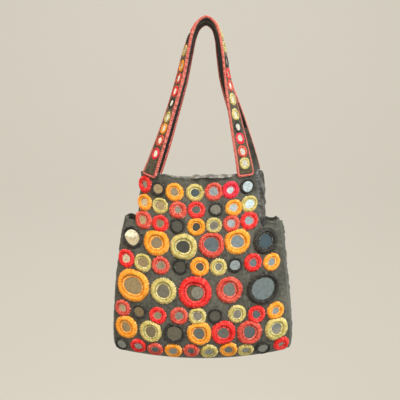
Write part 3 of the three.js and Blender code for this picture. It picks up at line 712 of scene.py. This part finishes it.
def mirrorPiece(name, members, node):
    threads = list(dict.fromkeys(m["thread"] for m in members))
    parts = []
    for m in members:
        half = m["ring"] / 2 * ringLook["full"]
        pull = ringLook["wider"] if m["wider"] else 1
        opening, seed = m["open"] * ringLook["draw"], m["row"] * 100 + m["n"]
        points, faces, picks, tones = stitchedMirror(
            m["patch"], half * pull, half / pull, crowding(m), opening, seed, m["clear"], flaw=m["flaw"])
        picks = [len(threads) + p - 1 if p else threads.index(m["thread"]) for p in picks]
        parts.append((points, faces, picks, tones))
    points, faces, picks, tones = joined(parts)
    used = [finishes[t] for t in threads + ["glass", "strapCotton"]]
    piece = makePiece(name, points, faces, used, picks, tones)
    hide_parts(node)
    "thread_" + threads[0]


for number, row in enumerate(mirrorRows, 1):
    members = [m for m in mirrors if m["row"] == number]
    if row.get("string"):
        mirrorPiece(f"mirrorString{number}", members, f"mirror_string_row{number}")
        continue
    for m in members:
        mirrorPiece(f"mirror{number}_{m['n']}", [m], f"mirror_row{number}_{m['n']}")
print("mirror work made:", len(mirrors), "mirrors")

# Panels
panelLook = {
    "frontGrid": (210, 120, 16),  # rows, and columns of the sleeve and of each pocket's part
    "backGrid": (150, 64, 10),
    "puff": (0.75, 2.2),  # how the cloth swells between the rings, and how far from them
    "pucker": (0.22, 1.1, 2),  # depth of the puckers round a ring, their number for its size, and their reach
    "wrinkle": 0.35,
    "hem": (0.5, 0.16),  # height of the hem at the mouth, and its width in levels
    "gather": (0.85, 0.7),  # depth and height of the gathers along the tops of the pockets
    "gape": (5.0, 3.4, 2.4),  # how far the right pocket gapes, where, and how wide
    "droop": (2.5, 0.5),  # how far its rear edge hangs down, and over how many levels that fades
    "apart": 0.2,  # how far the inner faces keep from the middle
}


def panelGrid(surface, step, rightEdge, rows, sleeve, ear):
    # rows spaced evenly down the cloth
    fine = np.linspace(0, cloth["seam"], 900)
    run = lengthsAlong(surface(np.zeros(fine.size), fine))
    v = np.interp(np.linspace(0, run[-1], rows), run, fine)
    v[np.argmin(np.abs(v - step))] = step
    v = v[:, None]
    left, right = level("sleeveLeft", v), level(rightEdge, v)
    farLeft, farRight = (level(name, np.maximum(v, cloth["step"])) for name in ("outerLeft", "outerRight"))
    part = np.linspace(0, 1, ear + 1)[None, :-1]
    x = np.concatenate([
        farLeft + (left - farLeft) * part,
        left + (right - left) * np.linspace(0, 1, sleeve + 1)[None, :],
        farRight + (right - farRight) * part[:, ::-1],
    ], axis=1)
    above = (v[:-1, 0] < step - 1e-6)[:, None]
    columns = np.arange(x.shape[1] - 1)[None, :]
    has = ~(above & ((columns < ear) | (columns >= ear + sleeve)))
    return x, np.broadcast_to(v, x.shape), has


def swell(points):
    # the cloth swells between the rings and puckers towards their stitches
    puff, spread = panelLook["puff"]
    deep, number, reach = panelLook["pucker"]
    lift = np.full(points.shape[:2], np.inf)
    pucker = np.zeros(points.shape[:2])
    for m in mirrors:
        step = points - m["patch"]["centre"]
        clear = np.linalg.norm(step, axis=-1) - m["ring"] / 2
        lift = np.minimum(lift, clear)
        turn = np.arctan2(step @ m["patch"]["up"], step @ m["patch"]["right"])
        folds = np.cos(turn * round(number * m["ring"]) + m["n"])
        pucker += folds * np.exp(-np.maximum(clear, 0) / reach) * (clear > 0)
    rise = 1 - np.exp(-np.maximum(lift, 0) / spread)
    return puff * rise + deep * pucker * np.clip(lift, 0, 1)


def drooping(below):
    amount, fades = panelLook["droop"]
    return amount * np.exp(-np.maximum(below, 0) / fades)


def panelPiece(name, surface, node, grid):
    worked = surface is frontPoint  # the front carries the mirrors
    step, rightEdge = (cloth["step"], "sleeveRight") if worked else (cloth["rearStep"], "rearRight")
    x, v, has = panelGrid(surface, step, rightEdge, *grid)
    base = surface(x, v)
    normal = outward(surface, x, v)
    z = base[..., 2]
    lift = panelLook["wrinkle"] * ripples(x, z, 26, 5 if worked else 8)
    if worked:
        lift = lift * 0.4 + swell(base)
    else:
        lift = lift * 1.6 + 0.25 * ripples(x, 2.5 * z, 15, 9)
    hem, hemWide = panelLook["hem"]
    lift = lift * np.clip((cloth["seam"] - v) / 1.5, 0, 1) + hem * np.exp(-((v / hemWide) ** 4))
    below, past = v - step, x - level(rightEdge, v)
    ear = np.clip(np.maximum(level("sleeveLeft", v) - x, past) / 5, 0, 1)
    ear = ear * np.exp(-(np.maximum(below, 0) / 0.35))
    bunched = ripples(x, 0.2 * z, 5, 61) + ripples(0.35 * x, z, 3.6, 63)
    lift = lift + panelLook["gather"][0] * ear * bunched
    drop = panelLook["gather"][1] * ear**3 * ripples(x, 0 * x, 6.5, 62)
    if worked:  # the right pocket gapes beside the sleeve
        deep, place, width = panelLook["gape"]
        gape = np.exp(-(((past - place) / width) ** 2)) * np.exp(-np.maximum(below, 0) / 0.2)
        drop = drop - deep * gape * (below >= 0) * (past > 0.1)
    else:
        drop = drop - drooping(below) * np.clip(past / 5, 0, 1)
    base = base + drop[..., None] * np.array([0, 0, 1])
    outer = base + normal * lift[..., None]
    inner = base - normal * cloth["cotton"]
    depth, apart = inner[..., 1], panelLook["apart"]
    inner[..., 1] = np.minimum(depth, -apart) if worked else np.maximum(depth, apart)
    points, faces = thickSheet(outer, inner, has)
    piece = makePiece(name, points, faces, [finishes["cotton"]], sharp=60)
    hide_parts(node)


panelPiece("frontPanel", frontPoint, "front_panel", panelLook["frontGrid"])
panelPiece("backPanel", backPoint, "back_panel", panelLook["backGrid"])
print("panels made")

# Side walls: satin gussets of the main bag and gathered cotton pockets outside them. Each runs between
# two edges and the levels of its front, its rear and its foot, and bows out by so much at top and foot.
gusset = {"levels": (0, 0, 7.5), "across": True, "runs": 0.4, "lip": 0.0, "finish": "satin"}
pocket = {
    "levels": (2, 1.8, 8), "folds": 2.5, "across": False, "runs": 0.6, "rolled": 0.0, "full": 0.8,
    "finish": "cotton",
}
sideLook = {
    "left_gusset": gusset | {
        "piece": "leftGusset", "edge": "sleeveLeft", "rear": "sleeveLeft", "out": -1, "top": -2.5,
        "foot": -1.5, "fold": 0.6, "folds": 4.5, "crumple": (0.6, 14, 0), "puffed": 0.5, "rolled": 1.2,
        "full": 0.8, "flat": (0.03, 0.185)},
    "right_gusset": gusset | {
        "piece": "rightGusset", "edge": "sleeveRight", "rear": "rearRight", "out": 1, "top": 4.5, "foot": 1.5,
        "fold": 0.9, "folds": 5.5, "crumple": (0.9, 14, 0), "puffed": 2.0, "rolled": 2.2, "full": 0.5,
        "flat": (0.036, 0.185)},
    "left_pocket": pocket | {
        "piece": "leftPocket", "edge": "outerLeft", "rear": "outerLeft", "out": -1, "top": 2.5, "foot": 2.5,
        "fold": 1.2, "crumple": (0.4, 9, 0.5), "puffed": 0.0, "lip": 0.9, "flat": (0.028, 0.14)},
    "right_pocket": pocket | {
        "piece": "rightPocket", "edge": "outerRight", "rear": "outerRight", "out": 1, "top": 4.0, "foot": 4.0,
        "fold": 1.6, "crumple": (0.6, 9, 0.5), "puffed": -4.0, "lip": 1.3, "flat": (0.03, 0.14)},
}


def inside(surface, x, v):
    return surface(x, v)[..., 1] - cloth["cotton"] / outward(surface, x, v)[..., 1]


def sideWall(node, look, rows=130, cols=32):
    h = np.linspace(0, 1, rows)[:, None]
    w = np.linspace(0, 1, cols)[None, :]
    start, rearStart, end = look["levels"]
    brim = start + (rearStart - start) * w
    v = brim + (end - brim) * h
    thick = cloth[look["finish"]]
    x0, x1 = (level(look[side], np.maximum(v, start)) for side in ("edge", "rear"))
    sewn = 0.5  # sewn into the panels
    y0 = np.maximum(inside(frontPoint, x0, v), inside(frontPoint, x0 - look["out"] * thick, v)) - sewn
    y1 = np.minimum(inside(backPoint, x1, v), inside(backPoint, x1 - look["out"] * thick, v)) + sewn
    x = x0 + (x1 - x0) * w
    fade = np.maximum(0, 1 - h / look["runs"])
    turns = h / look["runs"] if look["across"] else w
    bow = look["foot"] + (look["top"] - look["foot"]) * fade
    bow = bow + look["fold"] * fade * np.sin(math.tau * look["folds"] * turns)
    y = y0 + (y1 - y0) * w
    z = hangHeight(x, v)
    free = np.sin(math.pi * w)
    deep, size, sharp = look["crumple"]
    crumple = ripples(1.6 * y, z, size, len(node)) + sharp * ripples(y, z, 4, len(node) + 7)
    push = (bow + deep * crumple * (0.35 + 0.65 * fade)) * free ** look["full"]
    curl = 2.4 * np.clip(1 - h / 0.07, 0, 1)  # the satin's top edge rolls inwards
    push = push - look["rolled"] * (1 - np.cos(curl)) * free**0.5
    gathers = look["lip"] * ripples(y, 0 * y, 8, 41) * free**0.5
    z = z + np.exp(-((h / 0.05) ** 2)) * (look["puffed"] * free + gathers)
    z = z + look["rolled"] * np.sin(curl) * free**0.5
    if node == "right_pocket":
        z = z - drooping(v - brim) * w
    if look["across"]:  # folds of the satin also press forwards
        y = y - 0.8 * (push - bow) * np.exp(-w / 0.15) * np.minimum(1, w / 0.03)
    outer = np.stack([x + look["out"] * push, y, z], axis=-1)
    inner = outer - np.array([look["out"] * thick, 0, 0])
    points, faces = thickSheet(outer, inner)
    piece = makePiece(look["piece"], points, faces, [finishes[look["finish"]]], sharp=65)
    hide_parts(node)


for node, look in sideLook.items():
    sideWall(node, look)
print("side walls made")

# Lining: a satin band inside the mouth, its wrinkled edge folded up over the cotton
liningLook = {
    "rise": 0.5, "roll": 2.0, "wave": 0.5, "wrinkle": 0.5, "inset": 9, "gap": 0.25, "depth": 1.0,
    "rolled": 0.55,  # share of the rows in the rolled edge
    "thick": 0.7,  # share of the satin's thickness
    "corners": [0, 0.42, 0.5, 0.92, 1],  # where the band turns, in shares of the way round
    # how full the roll is from left to right, thickest on the right
    "fuller": ([-50, -42, -24, -12, 22, 31], [0.15, 0.5, 0.65, 1.1, 1.2, 0.15]),
}


def liningPiece(cols=380, rows=26):
    k = np.arange(cols) / cols
    h = np.linspace(0, 1, rows)[:, None]
    rolled = liningLook["rolled"]
    v = np.clip((h - rolled) / (1 - rolled), 0, 1) * liningLook["depth"]
    up = np.clip(1 - h / rolled, 0, 1)
    leg = np.interp(k, liningLook["corners"], [0, 1, 1, 0, 0])[None, :]
    turn = np.interp(k, liningLook["corners"], [0, 0, 1, 1, 0])[None, :]

    def ring(inward):
        left = level("sleeveLeft", v) + liningLook["inset"] + inward
        right = level("sleeveRight", v) - liningLook["inset"] - inward
        x = left + (right - left) * leg
        y0 = inside(frontPoint, x, v) + liningLook["gap"]
        y1 = inside(backPoint, x, v) - liningLook["gap"]
        y = y0 + (y1 - y0) * turn
        wave = liningLook["wave"] * ripples(x + 60 * turn, 0 * x, 38, 17, 5)
        wrinkle = liningLook["wrinkle"] * ripples(x + 40 * turn, 22 * h, 5.5, 31)
        uneven = 1 + 0.22 * ripples(x + 90 * turn, 0 * x, 17, 23, 5)
        roll = liningLook["roll"] * np.interp(x, *liningLook["fuller"]) * uneven
        curl = math.pi * 1.05 * np.clip((up - 0.3) / 0.7, 0, 1)
        top = np.clip(up / 0.3, 0, 1) * (liningLook["rise"] + wave) * np.minimum(1, roll)
        z = hangHeight(x, v) + top + (roll + inward) * np.sin(curl)
        out = roll - (roll + inward) * np.cos(curl) + wrinkle * (0.4 + up)
        return np.stack(np.broadcast_arrays(x, y + (2 * turn - 1) * out, z), axis=-1)

    points, faces = thickSheet(ring(0), ring(cloth["satin"] * liningLook["thick"]), wrapped=True)
    # the lining band takes the paler, painted-lit copy of the satin
    piece = makePiece("liningBand", points, faces, [finishes["lining"]], sharp=70)
    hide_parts("lining")


liningPiece()
print("lining made")

# Straps: places and turns of the left and right legs, from the feet to the top of the loop
strapLook = {
    "z": [-156.5, -146, -100, -57, -31, -14, -3.4],  # heights where the places are given
    "steps": 40,  # points between them
    "band": 17.2, "out": 0.7, "in": 1.0, "crown": 0.5,  # width, and how thick to the outside and the inside
    "grid": (260, 15),
    "paintedLitFrom": 0.86,  # low on the right leg the inner face takes the paler body cotton: painted light
    "braidWide": 2.8, "braidThick": (3.5, 2.6),  # thick on the left and the right leg
    "braidAt": 7.9, "braidOut": 0.3, "braidEnd": 2.0, "braidBend": 2.2,
    "plait": 2.3, "plaitPoints": 5, "braidAround": 12,  # length of one plait, and points along and round it
    "mirrorWide": 5.5, "mirrorTall": 6.4, "open": 0.52, "flat": 0.5, "clear": 1.0,
    "pitch": 12.6, "mirrorGap": 0.1, "alone": 99,  # the room past the first and the last mirror
    "topThreads": ["black", "red", "salmon", "orange", "olive"],
}
backStops = [-145 + 12.5 * k for k in range(10)]
strapRoutes = {
    "front": {
        "left": [-57.5, -53.6, -38.2, -25.7, -20, -14.6, -8.2],
        "yLeft": [-8.4, -9.2, -9.8, -10.1, -10.2, -10.2, -10.2],
        "turnLeft": [55, 49, 33, 28, 20, 10, 4],
        "right": [40, 38.4, 29.4, 21.4, 17.8, 13.8, 8],
        "yRight": [-14.1, -14.6, -13, -11.5, -10.8, -10.4, -10.2],
        "turnRight": [75, 69, 45, 22, 15, 9, 4],
        "top": (0, -10.2, 1), "front": 1, "tuck": (0, 0, 0), "slim": (1, 0.62),
        "leftMirrors": [-136.7, -123.4, -111.2, -100, -85.3, -73.6, -60.3, -47.6, -31.9],
        "leftThreads": "rose salmon orange olive black red salmon orange olive",
        "rightMirrors": [-146.3, -134.6, -121.4, -109.7, -97, -81.7, -67.5, -55.3, -43.5, -28],
        "rightThreads": "olive salmon rose black olive olive salmon red black olive",
    },
    "back": {
        "left": [-56, -52.5, -37, -24, -17.8, -13, -7.6],
        "yLeft": [12.9, 13.4, 12.4, 11.2, 10.7, 10.4, 10.2],
        "turnLeft": [83, 76, 42, 26, 16, 8, 4],
        "right": [48.8, 46.6, 33.6, 20, 15.2, 12, 7.6],
        "yRight": [12.9, 13.4, 12.4, 11.2, 10.7, 10.4, 10.2],
        "turnRight": [83, 76, 50, 30, 18, 9, 4],
        "top": (0, 10.2, 1), "front": -1,
        "tuck": (0.3, -0.5, 1.0), "slim": (0.9, 0.9),  # its edges are turned under
        "leftMirrors": backStops,
        "leftThreads": "salmon orange olive black red salmon orange olive black salmon",
        "rightMirrors": backStops,
        "rightThreads": "black olive orange salmon red black olive orange salmon red",
    },
}


def strapLine(route):
    left = np.stack([route["left"], route["yLeft"], strapLook["z"]], axis=1)
    right = np.stack([route["right"], route["yRight"], strapLook["z"]], axis=1)[::-1]
    knots = np.concatenate([left, [route["top"]], right])
    turns = [-t for t in route["turnLeft"]] + [0] + route["turnRight"][::-1]
    p = np.concatenate([[2 * knots[0] - knots[1]], knots, [2 * knots[-1] - knots[-2]]])
    points, turned = [], []
    steps = strapLook["steps"]
    t = np.linspace(0, 1, steps + 1)[:, None]
    for i in range(len(knots) - 1):
        p0, p1, p2, p3 = p[i : i + 4]
        d0, d1, d2 = (math.sqrt(np.linalg.norm(q - o)) for o, q in ((p0, p1), (p1, p2), (p2, p3)))
        m1 = d1 * ((p1 - p0) / d0 - (p2 - p0) / (d0 + d1) + (p2 - p1) / d1)
        m2 = d1 * ((p2 - p1) / d1 - (p3 - p1) / (d1 + d2) + (p3 - p2) / d2)
        curve = p1 + m1 * t + (3 * (p2 - p1) - 2 * m1 - m2) * t**2 + (2 * (p1 - p2) + m1 + m2) * t**3
        keep = slice(0, steps if i < len(knots) - 2 else steps + 1)
        points.append(curve[keep])
        turned.append(along(turns, i + t[:, 0])[keep])
    points, turned = np.concatenate(points), np.radians(np.concatenate(turned))
    run = lengthsAlong(points)
    tangent = unit(np.gradient(points, run, axis=0))
    wide = np.stack([np.sin(turned), route["front"] * np.cos(turned), 0 * turned], axis=1)
    wide = unit(wide - tangent * (wide * tangent).sum(axis=1, keepdims=True))
    face = unit(np.cross(tangent, wide)) * route["front"]
    length = run[-1]

    def at(s):
        held = np.clip(s, 0, length)
        values = [np.stack([np.interp(held, run, array[:, k]) for k in range(3)], axis=-1)
                  for array in (points, tangent, wide, face)]
        values[0] = values[0] + values[1] * (s - held)[..., None]
        return [values[0]] + [unit(value) for value in values[1:]]

    def height(z, leg):
        half = len(run) // 2
        part = slice(0, half) if leg == "left" else slice(half, None)
        order = np.argsort(points[part, 2])
        return float(np.interp(z, points[part, 2][order], run[part][order]))

    return {"at": at, "length": length, "height": height}


def crownAt(w):
    return strapLook["out"] + strapLook["crown"] * (1 - np.clip(2 * w / strapLook["band"], -1, 1) ** 2)


def bandPiece(name, line, node):
    rows, cols = strapLook["grid"]
    s = np.linspace(0, line["length"], rows)[:, None]
    w = np.linspace(-0.5, 0.5, cols)[None, :] * strapLook["band"]
    middle, _, wide, face = line["at"](s + 0 * w)
    bulge = crownAt(w) + 0.12 * ripples(s, 2 * w, 7, 3)
    outer = middle + wide * w[..., None] + face * bulge[..., None]
    hollow = strapLook["in"] + 0.12 * ripples(s, 2 * w, 9, 4)
    inner = middle + wide * w[..., None] - face * hollow[..., None]
    points, faces = thickSheet(outer, inner)
    cells = (rows - 1) * (cols - 1)
    # inner faces in near-black painted shade, and low on the right leg in the paler body cotton as painted
    # light
    picks = np.zeros(len(faces), int)
    picks[cells : 2 * cells] = 1
    picks[cells + round(strapLook["paintedLitFrom"] * cells) : 2 * cells] = 2
    sides = [finishes[f] for f in ("strapCotton", "strapInsideShade", "cotton")]
    piece = makePiece(name, points, faces, sides, picks, sharp=50)
    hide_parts(node)
    round(line["length"] * mm, 4)


def braidPiece(name, line, node, tuck, thin, roll, slim):
    # one run of braid round the band: up one edge, across a foot, down the other
    reach, end, bend = (strapLook["braid" + part] for part in ("At", "End", "Bend"))
    low, high = -end, line["length"] + end
    one, other = reach - tuck, thin - reach
    path = []
    corners = [(high, one, 0), (low, one, math.pi / 2), (low, other, math.pi), (high, other, -math.pi / 2)]
    for s, w, start in corners:
        inS, inW = s - math.copysign(bend, s), w - math.copysign(bend, w)
        for t in np.linspace(0, math.pi / 2, 6):
            path.append((inS + bend * math.cos(start + t), inW + bend * math.sin(start + t)))
    path = np.array(path + path[:1])
    run = lengthsAlong(path)
    repeats = round(run[-1] / strapLook["plait"])
    count, around = repeats * strapLook["plaitPoints"], strapLook["braidAround"]
    spots = np.linspace(0, run[-1], count, endpoint=False)
    s, w = np.interp(spots, run, path[:, 0]), np.interp(spots, run, path[:, 1])
    middle, _, wide, face = line["at"](s)
    centre = middle + wide * w[:, None]
    ahead = unit(np.roll(centre, -1, axis=0) - np.roll(centre, 1, axis=0))
    side = unit(np.cross(ahead, face))
    phi = math.tau * np.arange(around) / around
    across = np.cos(phi)[None, :]
    phase = math.tau * repeats * spots[:, None] / run[-1]
    chevron = np.cos(phase - 1.5 * np.tanh(4 * across) - 0.8 * np.abs(across))
    loose = 1 + 0.04 * ripples(spots[:, None], 0 * spots[:, None], 23, 12)
    swollen = (1 + 0.09 * chevron) * loose
    edge = np.interp(w, [-reach, reach], slim)  # the two edges of the band
    halfWide = (edge * strapLook["braidWide"] / 2)[:, None]
    halfThick = (edge * np.interp(s / line["length"], [0.4, 0.5], strapLook["braidThick"]) / 2)[:, None]
    turnedIn = tuck * np.clip(w / reach, 0, 1) - roll * np.clip(-w / reach, 0, 1)
    out = strapLook["braidOut"] + turnedIn[:, None]
    points = (centre[:, None] + side[:, None] * (halfWide * across * (1 + 0.05 * chevron))[..., None]
              + face[:, None] * (out + halfThick * np.sin(phi)[None, :] * swollen)[..., None])
    uneven = 0.26 * ripples(spots[:, None], 3 * across, 4, 14)
    # painted highlight on the swelling plaits, painted shade in their valleys and along the middle, with some
    # random unevenness
    tones = np.clip(0.5 + 0.34 * chevron + uneven - 0.25 * np.exp(-((across / 0.16) ** 2)), 0, 1)
    faces = loopFaces(count, around)
    piece = makePiece(name, points.reshape(-1, 3), faces, [finishes["braid"]], tones=tones.ravel())
    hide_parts(node)


def strapMirrors(name, line, route):
    leftStops = [line["height"](z, "left") for z in route["leftMirrors"]]
    rightStops = [line["height"](z, "right") for z in route["rightMirrors"]][::-1]
    gap = rightStops[0] - leftStops[-1]
    topCount = max(0, round(gap / strapLook["pitch"]) - 1)
    topStops = [leftStops[-1] + gap * (k + 1) / (topCount + 1) for k in range(topCount)]
    order = strapLook["topThreads"]
    stops = list(zip(leftStops, route["leftThreads"].split()))
    stops += [(s, order[k % len(order)]) for k, s in enumerate(topStops)]
    stops += list(zip(rightStops, route["rightThreads"].split()[::-1]))
    threads = list(dict.fromkeys(thread for _, thread in stops))
    small = [strapLook[part] for part in ("mirrorWide", "mirrorTall")]
    parts = []
    for n, (stop, thread) in enumerate(stops):
        middle, tangent, wide, face = line["at"](np.array(stop))

        def lay(a, b, h, stop=stop):
            centre, _, cross, out = line["at"](stop + b)
            return centre + cross * a[..., None] + out * (crownAt(a) + h)[..., None]

        centre = middle + face * crownAt(0.0)
        patch = {"lay": lay, "centre": centre, "right": wide, "up": tangent, "normal": face}
        before = stop - stops[n - 1][0] if n else strapLook["alone"]
        after = stops[n + 1][0] - stop if n + 1 < len(stops) else strapLook["alone"]
        halves = [room / 2 - strapLook["mirrorGap"] for room in (after, before)]
        limits = list(zip(halves, (math.pi / 2, -math.pi / 2)))
        seed = 3000 + n + 100 * route["front"]
        points, faces, picks, tones = stitchedMirror(
            patch, *small, limits, strapLook["open"], seed, strapLook["clear"], strapLook["flat"])
        parts.append((points, faces, [len(threads) if p else threads.index(thread) for p in picks], tones))
    points, faces, picks, tones = joined(parts)
    piece = makePiece(name, points, faces, [finishes[t] for t in threads] + [finishes["glass"]], picks, tones)
    "thread_" + threads[0]


for name, route in strapRoutes.items():
    line = strapLine(route)
    bandPiece(name + "Strap", line, name + "_strap")
    braidPiece(name + "StrapBraid", line, name + "_strap_edging", *route["tuck"], route["slim"])
    strapMirrors(name + "StrapMirrors", line, route)
    print(name, "strap made, length", round(line["length"], 1), "mm")

# Studio, in metres
studio = {
    "floor": -0.85, "wall": 1.6, "sweep": 0.7, "wide": 14, "near": -1.0, "high": 6,
    "pale": linear(150, 148, 144), "paler": linear(142, 140, 136), "glow": 0.58,
    "camera": (-0.0062, -0.925, -0.1835), "lens": 81, "sensor": 36,
    "lights": [  # place, aim, size, spread in degrees, watts and colour
        ("key", (0.62, -0.85, 0.68), (0, 0, -0.285), (0.5, 0.5), 50, 1.46, (1, 0.98, 0.95)),
        ("fill", (-0.6, -0.85, 0.7), (0, 0, -0.27), (0.6, 0.6), 50, 0.9, (1, 0.96, 0.9)),
        ("window", (0.41, -1.03, 0.06), (0, 0, -0.18), (0.86, 0.54), 180, 1.0, (0.8, 0.92, 1)),
        ("lamp", (-0.801, -0.611, 0.132), (-0.074, -0.016, -0.223), (0.1, 0.17), 180, 0.04, (0.92, 1, 0.85)),
        ("lampLow", (-0.8, -0.62, -0.075), (-0.074, -0.016, -0.24), (0.16, 0.22), 180, 0.032, (1, 0.9, 0.68)),
        ("low", (0.95, -0.55, -0.62), (0, 0, -0.32), (0.4, 0.4), 60, 0.4, (0.97, 1, 0.97)),
        ("leftPanel", (-0.81, 0.35, 0.2), (-0.03, 0, -0.08), (0.66, 0.4), 180, 0.42, (1, 0.9, 0.7)),
        ("rightPanel", (0.82, 0.35, 0.17), (0.03, 0, -0.07), (0.8, 0.36), 180, 0.54, (1, 0.92, 0.74)),
        ("rear", (0.6, 0.95, 0.75), (0, 0, -0.18), (0.6, 0.6), 60, 1.4, (1, 1, 1)),
        ("backdrop", (0, 0.55, 1.3), (0, 1.6, -0.2), (1.6, 0.5), 80, 3.4, (1, 1, 1)),
    ],
    "warmAir": (0.46, 0.325, 0.175), "coolAir": (0.26, 0.31, 0.325),
    "plainAir": (0.66, 0.62, 0.54), "paleAir": (0.4, 0.38, 0.33),
    "lowAir": 1.05, "highAir": 1.2, "sideAir": 1.2,  # strengths
}


def paleFinish():
    f = Finish(bpy.data.materials.new("palePaper"))
    return f.cover({
        "Base Color": f.mix(f.noise(180, 2) * 0.3, studio["pale"], studio["paler"]),
        "Roughness": 0.95,
        "Emission Color": (*studio["plainAir"], 1),
        "Emission Strength": studio["glow"],
    })


def makeSweep():
    # one pale sweep for floor and backdrop
    wall, floor, sweep = studio["wall"], studio["floor"], studio["sweep"]
    bend = [(wall - sweep * (1 - math.sin(t)), floor + sweep * (1 - math.cos(t)))
            for t in np.linspace(0, math.pi / 2, 24)]
    line = [(studio["near"], floor)] + bend + [(wall, studio["high"])]
    points = [(x, y, z) for y, z in line for x in (-studio["wide"], studio["wide"])]
    mesh = bpy.data.meshes.new("sweep")
    mesh.from_pydata(points, [], gridFaces(len(line), 2))
    mesh.materials.append(paleFinish())
    mesh.shade_smooth()
    sweep = bpy.data.objects.new("sweep", mesh)
    bpy.context.scene.collection.objects.link(sweep)


def makeLights():
    for name, at, to, size, spread, power, colour in studio["lights"]:
        lamp = bpy.data.lights.new(name, "AREA")
        lamp.shape = "RECTANGLE"
        lamp.energy, lamp.color = power, colour
        lamp.size, lamp.size_y = size
        lamp.spread = math.radians(spread)
        holder = bpy.data.objects.new(name, lamp)
        holder.location = at
        holder.rotation_euler = (Vector(to) - Vector(at)).to_track_quat("-Z", "Y").to_euler()
        holder.visible_camera = False
        bpy.context.scene.collection.objects.link(holder)


def makeAir():
    # room air: warm on the left, cool on the right, brighter overhead and far to the sides
    world = bpy.data.worlds.new("studioAir")
    bpy.context.scene.world = world
    f = Finish(world)
    where = f.node("ShaderNodeTexCoord", output=0)
    acrossRoom = f.node("ShaderNodeSeparateXYZ", {}, {0: where}, 0)
    upRoom = f.node("ShaderNodeSeparateXYZ", {}, {0: where}, 2)
    tint = f.mix(f.rise(acrossRoom * 0.5 + 0.5, 0.3, 0.64), studio["warmAir"], studio["coolAir"])
    high = f.rise(upRoom * 0.5 + 0.5, 0.6, 0.9)
    dark, half, light = (0, 0, 0), (0.5, 0.5, 0.5), (1, 1, 1)
    aside = f.ramp(acrossRoom * 0.5 + 0.5, [(0.04, half), (0.165, dark), (0.76, dark), (0.85, light)])
    tint = f.mix(aside, tint, studio["paleAir"])
    strength = studio["lowAir"] + high * studio["highAir"] + aside * studio["sideAir"]
    room = f.node("ShaderNodeBackground", {}, {"Color": tint, "Strength": strength})
    plain = f.node("ShaderNodeBackground", {}, {"Color": (*studio["plainAir"], 1), "Strength": 1.0})
    seen = f.node("ShaderNodeLightPath")
    both = f.node("ShaderNodeMixShader", {}, {0: seen, 1: room, 2: plain})
    f.node("ShaderNodeOutputWorld", {}, {"Surface": both})


def makeCamera():
    lens = bpy.data.cameras.new("camera")
    lens.lens, lens.sensor_width = studio["lens"], studio["sensor"]
    camera = bpy.data.objects.new("camera", lens)
    camera.location = studio["camera"]
    camera.rotation_euler = (math.pi / 2, 0, 0)
    bpy.context.scene.collection.objects.link(camera)
    bpy.context.scene.camera = camera
    bpy.context.scene.view_settings.view_transform = "Standard"


makeSweep()
makeLights()
makeAir()
makeCamera()
print("studio made:", len(studio["lights"]), "lights")
